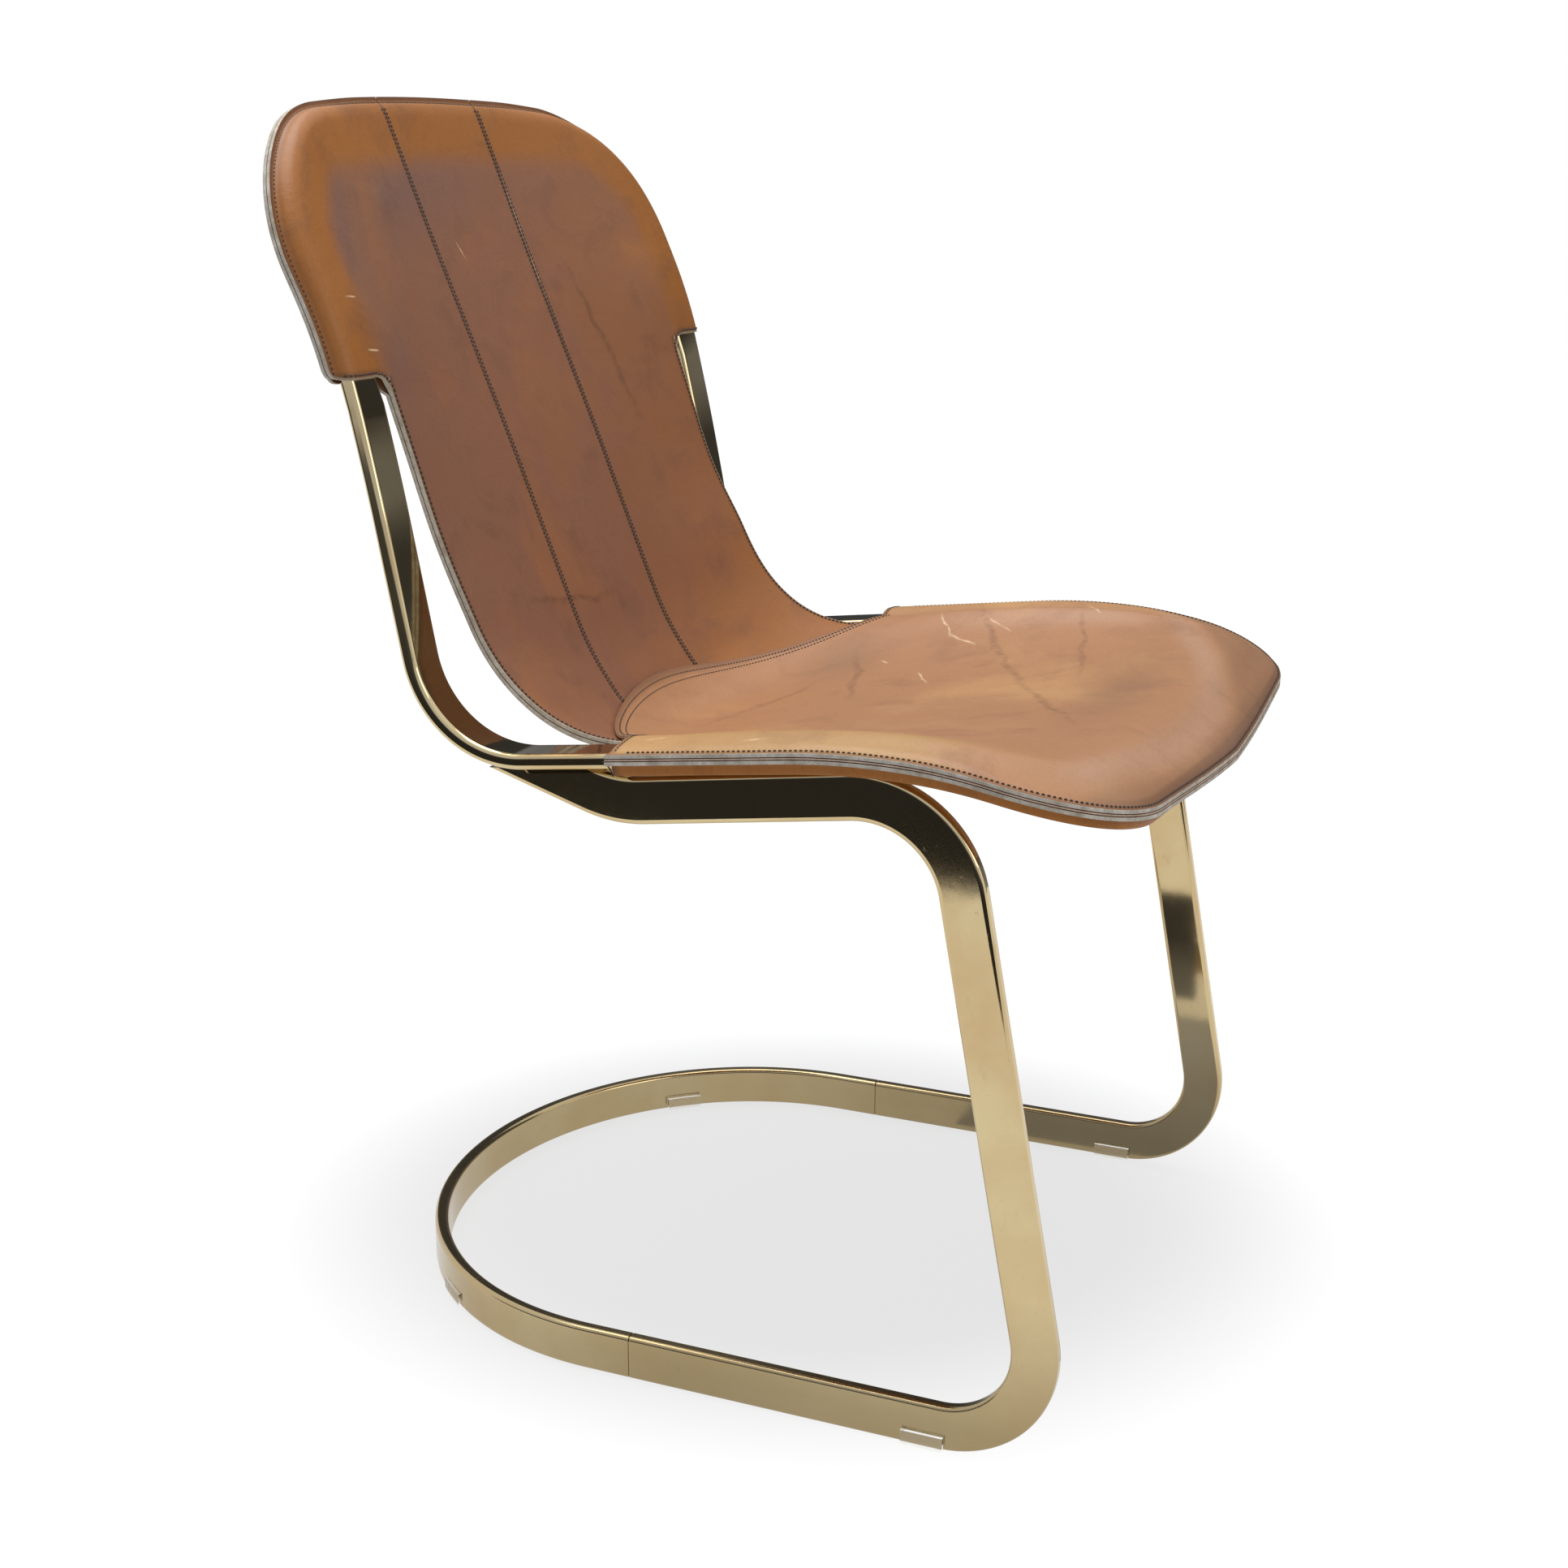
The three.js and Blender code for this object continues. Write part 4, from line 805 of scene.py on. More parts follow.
# The seat's grey is the colour of its painted highlight.
seat_leather = leather_finish(
    "leather_seat", (181, 140, 90), (170, 121, 84), mottle=0.7, rim=(120, 84, 60),
    grey=(190, 154, 130), gloss=0.42,
    crease_shade=[(240, -10, 20, -118, 3.4, 6), (60, -98, -110, -183, 3.4, 6),
             (160, 60, 20, 10, 4, 8), (220, -100, 60, -140, 3, 6), (-60, 100, 100, 60, 4, 8)],
    scratches=[(210, 12, 165, -15, 1.2, 4), (175, -8, 150, -40, 1.2, 4),
               (200, -30, 170, -60, 1.1, 3), (100, -12, 65, -30, 1.2, 3),
               (130, 30, 122, 20, 1.1, 1), (220, -105, 200, -118, 1.2, 1),
               (-236, 45, -230, 30, 1.2, 2), (-240, -20, -236, -40, 1.2, 2),
               (-220, -60, -210, -75, 1.1, 2)])
low_leather = leather_finish("leather_lower", (168, 106, 44), (152, 94, 44), gloss=0.2)
raw_edge = edge_finish("leather_raw_edge", (212, 204, 190), (168, 156, 138))
seam_edge = edge_finish("leather_seam_edge", (72, 54, 42), (48, 36, 30))
pale_edge = edge_finish("leather_pale_edge", (196, 168, 138), (150, 120, 92))
welt_edge = edge_finish("leather_welt_edge", (216, 190, 168), (176, 150, 130))
print("leather finishes ready")

# %% [markdown]
# The back is a sock of two layers over the arch, sewn near its outer edge. Its outline is
# an arch too, so a band of grid lines follows the outline at fixed distances, and a patch
# fills what lies inside. Below the pocket's mouth both layers go on as the narrower sling.

# %% Outline of the back
BACK_REACH = TUBE_W / 2 + 3 * GAP + LEATHER + 6.7
BACK_HALF, BACK_CORNER = RAIL_X + BACK_REACH, 86 + BACK_REACH
CORNER_X = BACK_HALF - BACK_CORNER
SLING_HALF = INNER_X - 10
BAND = BACK_HALF - SLING_HALF
SEAM_X, SEAM_GAP = 61.0, 0.6
TIP_R, MOUTH_R = 8.0, 12.0
SEWN, ROLL_END = 4.6, 16.5  # insets of the stitch row and of the end of the roll
REAR_LEVEL = 10.9  # of the tube's rear face, behind the sitting face
TUCK = 16.0  # of the sling under the seat's panel


def back_inset(x, s):
    """Distance inwards from the rounded outline, uncrowned: the usual distance to a rounded
    corner where both legs are near, and to the nearer straight side elsewhere."""
    qx, qy = np.abs(x) - CORNER_X, BACK_CORNER - s
    out = np.hypot(np.maximum(qx, 0), np.maximum(qy, 0)) + np.minimum(np.maximum(qx, qy), 0)
    return BACK_CORNER - out


def crowned(x, s):
    """The outline's top is a shallow arch: its ends lie a little lower than its middle."""
    share = np.maximum(0, 1 - s / (BACK_CORNER * 1.3))
    return s + crown(np.clip(x, -RAIL_X, RAIL_X)) * share


def layers_behind(x, s, *depths):
    """Points at each depth behind the crowned sitting face."""
    return [behind(x, crowned(x, s), depth) for depth in depths]


def flange_depth(x):
    """Depth of the sewn edge behind the sitting face: shallow at the top, level with the
    tube's rear face at the sides."""
    return mix(2.7, REAR_LEVEL, smooth(np.abs(x) / BACK_HALF, 0.35, 0.78))


def roll(inset):
    """Share of the leather's roll over the tube's edge, a quarter of an ellipse."""
    t = np.clip((ROLL_END - inset) / (ROLL_END - SEWN), 0, 1)
    return np.sqrt(1 - t * t)


def front_depth(x, s):
    """Depth of the front layer's outer face."""
    return flange_depth(x) * (1 - roll(back_inset(x, s)))


def mouth_line(x):
    """Height of the pocket's mouth at x, with a rounded tip and a fillet into the sling."""

    def quarter(reach, radius):
        return radius - np.sqrt(np.maximum(0, radius**2 - np.clip(reach, 0, radius) ** 2))

    x = np.abs(x)
    fillet = quarter(SLING_HALF + MOUTH_R - x, MOUTH_R)
    return mouth_height - fillet + quarter(x - BACK_HALF + TIP_R, TIP_R)


def s_at_height(x, z):
    """Length down the sitting face at which the sewn edge comes to a height."""
    return solve(x, z, BACK_CORNER, END_S * 0.7,
                 lambda x, s: behind(x, s, front_depth(x, s) + LEATHER)[..., 2])


def tongue(x, forward=0.0):
    """Place of the seat panel's rear edge: a parabola across the sling."""
    return 60 - forward + 92 * np.maximum(0, 1 - (x / INNER_X) ** 2)


print("back", round(2 * BACK_HALF, 1), "mm wide, sling", 2 * SLING_HALF, "mm")

# %% Grids of the back
INSETS = np.array([0, 1.3, 2.6, 4.0, 5.2, 6.0, 6.8, 7.8, 9, 10.3, 11.8, 13.4, 15, 17.5, 21, 25,
                   30, 35, 40, 45, BAND])
SIDE_ROWS, ARC_ROWS, TOP_STEP, SLING_ROWS = 46, 24, 4.0, 80
MIDDLE_ROWS, MIDDLE_COLUMNS = 170, 31


def band_points(x, s, nx, ns):
    """Points at each inset from outline points, along inward normals."""
    return np.stack([x[:, None] + nx[:, None] * INSETS, s[:, None] + ns[:, None] * INSETS], -1)


def top_band(x):
    return band_points(x, 0 * x, 0 * x, 1 + 0 * x)


def tucked(x):
    """Grid points at which the sling ends, under the seat's panel."""
    return np.column_stack([x, s_at_place(x, tongue(x, TUCK))])


def side_blocks(x_from):
    """Grids of the half x > 0: a band from the top at x_from round the corner to the mouth,
    and a patch inside it that runs on down the sling to the tongue."""
    top_x = np.linspace(x_from, CORNER_X, int(np.ceil((CORNER_X - x_from) / TOP_STEP)) + 1)
    a = np.linspace(0, np.pi / 2, 2 * ARC_ROWS + 1)[1:]
    arc = CORNER_X + BACK_CORNER * np.sin(a), BACK_CORNER * (1 - np.cos(a))
    columns = BACK_HALF - INSETS
    mouth = s_at_height(columns, mouth_line(columns))
    v = np.linspace(0, 1, SIDE_ROWS + 1)[1:, None]
    side = np.stack([columns + 0 * v, mix(BACK_CORNER, mouth[None], v)], -1)
    band = np.concatenate([top_band(top_x), band_points(*arc, -np.sin(a), np.cos(a)), side])
    inner = band[:, -1]
    split = len(top_x) + ARC_ROWS - 1
    end = s_at_place(SLING_HALF, tongue(SLING_HALF, TUCK))
    down = mix(inner[-1, 1], end, np.linspace(0, 1, SLING_ROWS + 1)[1:])
    top = inner[: split + 1]
    right = np.concatenate([inner[split:], np.column_stack([0 * down + SLING_HALF, down])])
    bottom = tucked(mix(x_from, SLING_HALF, np.linspace(0, 1, len(top))))
    left = mix(BAND, bottom[0, 1], np.linspace(0, 1, len(right)))
    return [band, patch(top, bottom, np.column_stack([0 * left + x_from, left]), right)]


def middle_blocks(half):
    """Grids of the middle panel, between the two seams."""
    x = np.linspace(-half, half, MIDDLE_COLUMNS)
    band, bottom = top_band(x), tucked(x)
    top, rows = band[:, -1], np.linspace(0, 1, MIDDLE_ROWS)[:, None]
    return [band, patch(top, bottom, mix(top[0], bottom[0], rows), mix(top[-1], bottom[-1], rows))]


def mirrored(blocks):
    return [(b * [-1, 1])[:, ::-1] for b in blocks]


def rear_depths(x, s):
    """Depths of the rear layer's two faces: a roll back over the tube, then forwards again
    to the front layer inside the ring, and against it below the mouth."""
    inset = back_inset(x, s)
    fade = 1 - mix(smooth(s, mouth_s + 5, mouth_s + 41), smooth(s, mouth_s - 25, mouth_s + 6),
                   smooth(inset, 43, 49))
    over = mix(flange_depth(x), REAR_LEVEL, roll(inset)) * (1 - smooth(inset, 42, 84))
    inner = SKIN + over * fade
    return inner, inner + LEATHER


right_blocks = side_blocks(SEAM_X + SEAM_GAP / 2)
whole = side_blocks(0.0)
print("band and patch of one half", *(block.shape[:2] for block in whole))

# %% [markdown]
# A sheet of leather is one grid used twice, at two depths. Its cut edge is rubbed: a
# narrow bevel goes round both faces.

# %% A sheet of leather
def edge_distance(points, quads):
    """Distance from each point to the nearest point of the boundary, in the flat."""
    edge = points[np.unique(boundary(quads))][:, :2]
    return np.concatenate([np.sqrt(((part[:, None, :2] - edge[None]) ** 2).sum(-1).min(1))
                           for part in np.array_split(points, 1 + len(points) // 4000)])


def leather_sheet(name, flat, quads, faces, materials, replaces, slot, size=None,
                  rests_on="back_arch_tube", other_rim=None, edge=None, **looks):
    """A closed sheet: the near face, the far face with its quads turned, and a rubbed rim,
    which wears the third finish where other_rim is true. Its size is the cut's width and
    length. The looks are tone, seam, which on the seat is painted shade, and
    bloom, which on the seat is a painted highlight."""
    n, rim, far = len(flat), boundary(quads), quads[:, ::-1] + len(flat)
    other = np.zeros(n, bool) if other_rim is None else other_rim
    where = np.column_stack([flat[:, :2] * MM, np.zeros(n)])
    looks = {"tone": 0.0, "seam": 0.0, "bloom": 0.0, **looks}
    looks["edge"] = edge_distance(flat, quads) if edge is None else edge
    attributes = {key: np.tile(np.broadcast_to(value, n), 2) for key, value in looks.items()}
    attributes["flat"] = np.concatenate([where, where + [0, 0, 1.7]])
    blocks = [np.concatenate([quads, far, np.column_stack([rim[:, ::-1], rim + n])])]
    index = np.r_[np.zeros(2 * len(quads)), 1 + other[rim].all(1)]
    obj = make_mesh(name, np.concatenate(faces), blocks, materials, index, attributes,
                    np.stack([rim, rim + n]))
    bevel = obj.modifiers.new("rubbed_edge", "BEVEL")
    bevel.limit_method, bevel.width, bevel.segments = "WEIGHT", 0.45 * MM, 2
    bevel.harden_normals = False
    p = faces[0][quads]
    diagonals = np.cross(p[:, 2] - p[:, 0], p[:, 3] - p[:, 1])
    area = float(np.linalg.norm(diagonals, axis=1).sum() / 2)
    wide = np.ptp(flat[:, 0]) + 4
    width, length = size or (wide, max(np.ptp(flat[:, 1]), area / wide) + 4)
    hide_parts(replaces)
    print(name, len(blocks[0]), "quads, one face", round(area / 1e4), "cm2")


print("leather", LEATHER, "mm thick")

# %% [markdown]
# Three front panels and one rear layer. Each knows where it has kept its golden colour,
# where a painted golden highlight lies low on the far side, where it has gone brown, and
# where the greyish mauve lies.

# %% Front panels and rear layer of the back
def back_tone(x, s):
    """Golden over the tube, brown inside it, and a painted golden highlight low down on the
    far side.
    """
    # painted highlight: less tone low down on the far side, which turns it golden
    low = 1 - 0.8 * smooth(s, 330, 500) * smooth(x, -60, 150)
    return smooth(back_inset(x, s), 34, 58) * low * (1 - 0.42 * smooth(x, 0, 200))


def back_bloom(x, s):
    """The greyish mauve just inside the tube, strongest at one upper corner."""
    inset = back_inset(x, s)
    near = smooth(inset, 38, 60) * (1 - 0.85 * smooth(inset, 60, 125))
    return near * (1 - 0.8 * smooth(x, -150, 60)) * (1 - 0.9 * smooth(s, 90, 260))


def outline_distance(x, s):
    """Distance from the cut outline: the arch's inset above the mouth, and the nearer of
    mouth and sling edge below and beside it."""
    beside = SLING_HALF - np.abs(x)
    over = s_at_height(x, mouth_line(x)) - s
    corner = np.where(beside > 0, np.hypot(beside, np.maximum(over, 0)), over)
    return np.minimum(back_inset(x, s), np.where(s > mouth_s, beside, corner))


for name, blocks in (("middle", middle_blocks(SEAM_X - SEAM_GAP / 2)), ("left", right_blocks),
                     ("right", mirrored(right_blocks))):
    flat, quads = weld(blocks)
    x, s = flat.T
    faces = layers_behind(x, s, front_depth(x, s), front_depth(x, s) + LEATHER)
    to_seam = np.abs(np.abs(x) - SEAM_X)
    leather_sheet("back_panel_" + name, flat, quads, faces, [back_leather, raw_edge, seam_edge],
                  "sling_panel_" + name, "leather_back", tone=back_tone(x, s),
                  seam=0.5 * (1 - smooth(to_seam, 1.4, 3.2)) * smooth(s, 4, 9),
                  bloom=back_bloom(x, s), edge=outline_distance(x, s),
                  other_rim=(to_seam < SEAM_GAP) & (s > 1))

flat, quads = weld([*whole, *mirrored(whole)])
x, s = flat.T
leather_sheet("back_rear_sheet", flat, quads, layers_behind(x, s, *rear_depths(x, s)),
              [rear_leather, raw_edge], "sling_rear_layer", "leather_rear", (515, 600),
              tone=back_tone(x, s))

# %% [markdown]
# The seat is a pocket of two panels over the ring, with a filler strip between them in
# the sewn edge. They are height fields over the plan. The sitting face's height is worked
# out on a regular plan grid and smoothed a little, so that the crest over the front tube
# is as soft as worn leather.

# %% Height of the sitting face over the plan
PLAN_STEP = 2.5
plan_x = np.arange(-230, 230 + PLAN_STEP, PLAN_STEP)
plan_y = np.arange(-300, 175, PLAN_STEP)
gx, gy = np.meshgrid(plan_x, plan_y)


def face_height(x):
    """Height of the sitting face over the plan grid's places, level in front of the crest."""
    return face(x, s_at_place(x, np.maximum(gy, CREST)))[..., 2]


def blurred(field, sigma_y, sigma_x):
    """Gaussian blur by a matrix of normalised weights on each side of the field."""

    def weights(n, sigma):
        k = np.arange(n)
        w = np.exp(-0.5 * ((k[:, None] - k) * PLAN_STEP / sigma) ** 2)
        return w / w.sum(1, keepdims=True)

    return weights(field.shape[0], sigma_y) @ field @ weights(field.shape[1], sigma_x).T


dish = (over_rail(gy) - face_height(0 * gx)) * (1 - np.minimum(1, np.abs(gx) / INNER_X) ** 2.5)
height = blurred(over_rail(gy) - np.where(gy <= CREST, 0, dish), 13.0, 4.0)
over_tube = (np.abs(gx) > INNER_X - 3) | (gy < CREST + 4)
height = np.where(over_tube, np.maximum(height, over_rail(gy) - loft(gy) + 0.6), height)
height = mix(height, face_height(gx), smooth(gy - tongue(gx, TUCK), -60, -4))


def seat_height(x, y):
    """Bilinear reading of the plan grid."""
    fx = np.clip((x - plan_x[0]) / PLAN_STEP, 0, len(plan_x) - 1.001)
    fy = np.clip((y - plan_y[0]) / PLAN_STEP, 0, len(plan_y) - 1.001)
    i, j = fx.astype(int), fy.astype(int)
    low, high = (mix(height[k, i], height[k, i + 1], fx - i) for k in (j, j + 1))
    return mix(low, high, fy - j)


def stretch(x, y, h=3.0):
    """How much longer an upright thickness is than one along the normal."""
    across = (seat_height(x + h, y) - seat_height(x - h, y)) / (2 * h)
    along = (seat_height(x, y + h) - seat_height(x, y - h)) / (2 * h)
    return np.sqrt(1 + across**2 + along**2)


print("seat height grid", height.shape, "lowest", round(float(height[:120].min()), 1), "mm")

# %% Grids of the seat
SEAT_FLANGE, REAR_EDGE = 11.5, 60
SEAT_INSET = SEAT_FLANGE + LEATHER + GAP
SEAT_HALF, SEAT_CORNER = RAIL_X + TUBE_W / 2 + SEAT_INSET, 54 + TUBE_W / 2 + SEAT_INSET
SEAT_FRONT = LOOP_FRONT - TUBE_W / 2 - SEAT_INSET
SEAT_BAND = SEAT_INSET + TUBE_W
SEAT_INSETS = np.array([0, 1.5, 3, 4.5, 6, 7.5, 9, 10.2, 11.2, 12.2, 13.4, 14.6, 16.5, 19, 22, 26,
                        30, 34, 39, SEAT_BAND])
WELT = 1.2  # thickness of the filler strip


def seat_blocks(rear, tuck=7.0):
    """Grids over the plan: a band from the rear of one side round the front to the other,
    and a patch inside it up to a rear line given by rear(x)."""
    n_side, n_arc, n_front = 60, 22, 60
    corner_x, corner_y = SEAT_HALF - SEAT_CORNER, SEAT_FRONT + SEAT_CORNER
    y_side = np.linspace(REAR_EDGE, corner_y, n_side)
    a = np.linspace(0, np.pi / 2, 2 * n_arc + 1)[1:]
    x_front = np.linspace(corner_x, 0, n_front + 1)[1:]
    side, ahead = np.ones(n_side), np.ones(n_front)
    x = np.r_[SEAT_HALF * side, corner_x + SEAT_CORNER * np.cos(a), x_front]
    y = np.r_[y_side, corner_y - SEAT_CORNER * np.sin(a), SEAT_FRONT * ahead]
    nx, ny = np.r_[-side, -np.cos(a), 0 * ahead], np.r_[0 * side, np.sin(a), ahead]
    short = np.maximum(0, SEAT_FLANGE - SEAT_INSETS) * tuck / SEAT_FLANGE
    reach = SEAT_INSETS + short * (ny**2)[:, None]
    band = np.stack([x[:, None] + nx[:, None] * reach, y[:, None] + ny[:, None] * reach,
                     SEAT_INSETS + 0 * reach], -1)
    band = np.concatenate([band, (band * [-1, 1, 1])[-2::-1]])
    inner = band[:, -1]
    split = n_side + n_arc - 1
    right, left = inner[: split + 1][::-1], inner[len(inner) - 1 - split :]
    front_edge = inner[split : len(inner) - split]
    x = mix(inner[0, 0], inner[-1, 0], np.linspace(0, 1, len(front_edge)))
    return [band, patch(front_edge, np.column_stack([x, rear(x), 0 * x + SEAT_BAND]), right, left)]


def bowed(x, y):
    """The front bulges a little more than the loop, fading out towards the seat's middle."""
    return y - 10 * bow(x, SEAT_HALF) * (1 - smooth(y, -200, -60))


def ahead_share(y):
    """Share from the seat's middle to its front, over which its edge droops."""
    return smooth(-y, SEAT_HALF / 2, SEAT_HALF)


def flange_top(x, y):
    """Height of the sewn edge's top, which droops round the corners and at the front."""
    middle = np.maximum(0, 1 - np.abs(x) / SEAT_HALF) ** 1.4
    return rail_height(y) + HALF_T + 2.8 - (3.4 + 9 * middle) * ahead_share(y)


def wrap(levels, inset, low, high):
    """Edge level, then a step onto the tube's level, then a slope to the inner level."""
    edge, on_tube, inside = levels
    outside = mix(edge, on_tube, smooth(inset, low, high))
    return mix(outside, inside, smooth(inset, SEAT_INSET, SEAT_BAND))


def tube_reach(y):
    """Upright distance from the ring's centre line to the leather's inner face."""
    return (HALF_T + 2 * GAP) * np.sqrt(1 + rail_rise(y) ** 2)


def dome(inset):
    """The top panel stands a little off the tube, highest over the tube's middle."""
    t = np.clip((inset - 8) / (SEAT_BAND - 8), 0, 1)
    return 2.6 * (4 * t * (1 - t)) ** 0.8


def top_heights(x, y, inset):
    """The top panel's upper and lower height."""
    edge = flange_top(x, y) - LEATHER
    levels = (edge, np.maximum(edge, rail_height(y) + tube_reach(y)),
              seat_height(x, y) + 3 * GAP * stretch(x, y))
    thick = LEATHER * mix(1, stretch(x, y), smooth(inset, SEAT_INSET, SEAT_BAND))
    front = smooth(-y, 140, 205)
    lift = dome(inset) * (1 - front)
    low, high = mix(SEAT_FLANGE - 2.2, 2.0, front), mix(SEAT_FLANGE + 2.6, 19.0, front)
    upper = wrap(levels, inset, low, high) + thick + lift
    under = wrap(levels, inset, SEAT_FLANGE - 0.6, SEAT_INSET) + lift
    return upper, np.minimum(mix(under, upper - LEATHER, front), upper - 0.8 * LEATHER)


def low_heights(x, y, inset):
    """The lower panel's upper and lower height. It hangs a little under the front tube."""
    edge = flange_top(x, y) - LEATHER - WELT - 2 * GAP
    under = rail_height(y) - tube_reach(y) - 3 * ahead_share(y)
    levels = (edge, under, np.minimum(under, seat_height(x, y) - 10))
    return (wrap(levels, inset, SEAT_FLANGE - 0.6, SEAT_INSET),
            wrap(levels, inset, SEAT_FLANGE - 3.4, SEAT_FLANGE + 0.8) - LEATHER)


def filler_heights(x, y, inset):
    top = flange_top(x, y) - LEATHER - GAP
    return top, top - WELT


print("seat", round(2 * SEAT_HALF, 1), "mm wide, front at", SEAT_FRONT, "mm")

# %% Seat panels and the filler strip
def crest_line(x):
    """Place of the worn crest over the front tube, measured in the photograph."""
    return -240 + 0.0009 * (x + 60) ** 2


def seat_looks(x, y):
    """The top panel's looks: golden over the side tubes, browner inside the ring and over the
    front. Its bloom is a painted highlight along the front crest and high on
    the far side's wall. Its seam is painted shade ahead of the crest and in the dip
    behind it, and a darker patch by the tongue's end."""
    from_side = SEAT_HALF - np.abs(x)
    tone = mix(smooth(from_side, 34, 56), 1, 0.5 * smooth(x, 0, 100))
    side = bell(x, 196, 15) * smooth(-y, -30, 60) * (1 - smooth(-y, 120, 190))
    # painted highlight along the front crest and high on the far side's wall
    bloom = np.maximum(bell(y, crest_line(x), 12), side) * smooth(from_side, 20, 60)
    # painted shade ahead of the crest and in the dip behind it
    ahead = 0.34 * smooth(crest_line(x) - y, 9, 24)
    dip_shade = 0.3 * bell(y, -178, 24) * bell(x, 20, 110)
    corner = 0.3 * bell(x, 135, 40) * bell(y, 58, 26)
    return {"tone": np.maximum(tone, smooth(-y, 100, 190) * 0.9), "bloom": 0.42 * bloom,
            "seam": np.maximum(np.maximum(ahead, dip_shade), corner), "other_rim": y > REAR_EDGE - 1}


def straight_rear(x):
    return REAR_EDGE + 0 * x


for name, blocks, heights, materials, replaces, slot, size, rests_on in (
    ("seat_panel_top", seat_blocks(tongue), top_heights, [seat_leather, raw_edge, pale_edge],
     "seat_top_panel", "leather_seat", (560, 480), "seat_loop_tube"),
    ("seat_panel_lower", seat_blocks(straight_rear), low_heights, [low_leather, raw_edge],
     "seat_lower_panel", "leather_lower", (560, 400), "seat_loop_tube"),
    ("seat_filler_strip", [seat_blocks(tongue)[0][:, :5]], filler_heights,
     [low_leather, welt_edge], "seat_edge_welt", "leather_edge", (12, 1200),
     "seat_panel_lower"),
):
    flat, quads = weld(blocks)
    x, y, inset = flat.T
    y_at = bowed(x, y)
    faces = [np.column_stack([x, y_at, z]) for z in heights(x, y_at, inset)]
    leather_sheet(name, flat, quads, faces, materials, replaces, slot, size, rests_on,
                  **(seat_looks(x, y) if len(materials) == 3 else {}))

# %% [markdown]
# Small metal and plastic parts keep their CAD shape and get a finish.

# %% Clear clips, spigots and weld beads
clear, shader = new_material("clear_clip")
feed(shader, {"Roughness": ramp(noise(object_place(), 120, 4), 0.3, 0.8, 0.02, 0.12),
              "Base Color": (0.97, 0.97, 0.95), "Transmission Weight": 1.0, "IOR": 1.49})
for start, material, slot in (("glide_", clear, "clear_glide"),
                              ("base_spigot", steel, "spigot_steel"),
                              ("ring_spigot", steel, "spigot_steel"),
                              ("weld_", weld_brass, "brass_plate")):
    own = [obj for name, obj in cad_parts.items() if name.startswith(start)]
    for obj in own:
        obj.data.materials.clear()
        obj.data.materials.append(material)
    print(start, len(own), "pieces wear", material.name)

# %% [markdown]
# Thread. Every stitch is a short waxed strand that dips into its holes: a thin spindle
# along the sewing line. A row is one mesh, made from one stitch's shape and a list of
# places, with no loop over the stitches.

# %% Stitches
thread, shader = new_material("waxed_thread")
twist = noise(object_place(), 1500, 2)
feed(shader, {"Base Color": blend(twist, srgb(64, 42, 30), srgb(38, 25, 20)),
              "Roughness": 0.6, "Normal": bump(twist, 0.5, 0.0003)})


def circle(sides):
    a = np.linspace(0, 2 * np.pi, sides, endpoint=False)
    return np.cos(a), np.sin(a)


def stitches(name, *lines, pitch=3.3, length=2.9, radius=0.6, rings=5, sides=6):
    """One mesh of spindles along lines, each line its points and their normals. A spindle
    is a stack of rings in the frame of its place: point, way ahead, side and normal."""
    t = np.linspace(-1, 1, rings)[:, None]
    girth = radius * np.sqrt(np.maximum(0.06, 1 - t**4))
    lift = radius * 0.9 * (1 - t**2) - 0.1 - radius * 0.9 * t**4
    across, up = circle(sides)
    shape = np.stack(np.broadcast_arrays(1.0, t * length / 2, girth * across,
                                         girth * up + lift), -1)
    frames = []
    for points, normals in lines:
        run = lengths(points)
        n = int(run[-1] // pitch)
        at = (np.arange(n) + 0.5) * run[-1] / n
        place, ahead, back, up = (
            np.column_stack([np.interp(at + step, run, column) for column in values.T])
            for values, step in ((points, 0), (points, 0.5), (points, -0.5), (normals, 0)))
        along, up = unit(ahead - back), unit(up)
        frames.append(np.stack([place, along, np.cross(along, up), up], 1))
    frames = np.concatenate(frames)
    first = rings * sides * np.arange(len(frames))[:, None, None]
    blocks = [(b + first).reshape(-1, b.shape[1]) for b in ring_faces(rings, sides)]
    make_mesh(name, np.einsum("rsk,nkx->nrsx", shape, frames).reshape(-1, 3), blocks, [thread])
    print(name, len(frames), "stitches")


def with_normals(surface, a, b, turn=1):
    """Points of a two-parameter surface, and its unit normals from differences over 2 mm."""
    across = surface(a + 1, b) - surface(a - 1, b)
    along = surface(a, b + 1) - surface(a, b - 1)
    return surface(a, b), turn * unit(np.cross(across, along))


def on_back(x, s):
    """A line on the front layer's outer face, and its normals towards the sitter."""
    return with_normals(lambda x, s: layers_behind(x, s, front_depth(x, s))[0], x, s, -1)


def on_rear(x, s):
    """A line on the rear layer's outer face, and its normals away from the sitter."""
    inner, outer = layers_behind(x, s, *rear_depths(x, s))
    return outer, unit(outer - inner)


def on_seat(x, y, inset):
    """A line on the top panel, and its normals upwards."""

    def skin(x, y):
        return np.stack([x, bowed(x, y), top_heights(x, bowed(x, y), inset)[0]], -1)

    return with_normals(skin, x, y)


def under_seat(x, y, inset):
    points = np.column_stack([x, bowed(x, y), low_heights(x, bowed(x, y), inset)[1]])
    return points, np.tile(-Z_AXIS, (len(x), 1))


# %% [markdown]
# The rows follow the outlines and seams at fixed insets. Two threads hang loose at the
# seat's right rear corner.

# %% Stitch rows
BACK_ROW, SEAM_ROW, SLING_ROW, SEAT_COLUMN = SEWN, 1.8, 2.6, 3
FINE = {"pitch": 3.0, "length": 2.6}


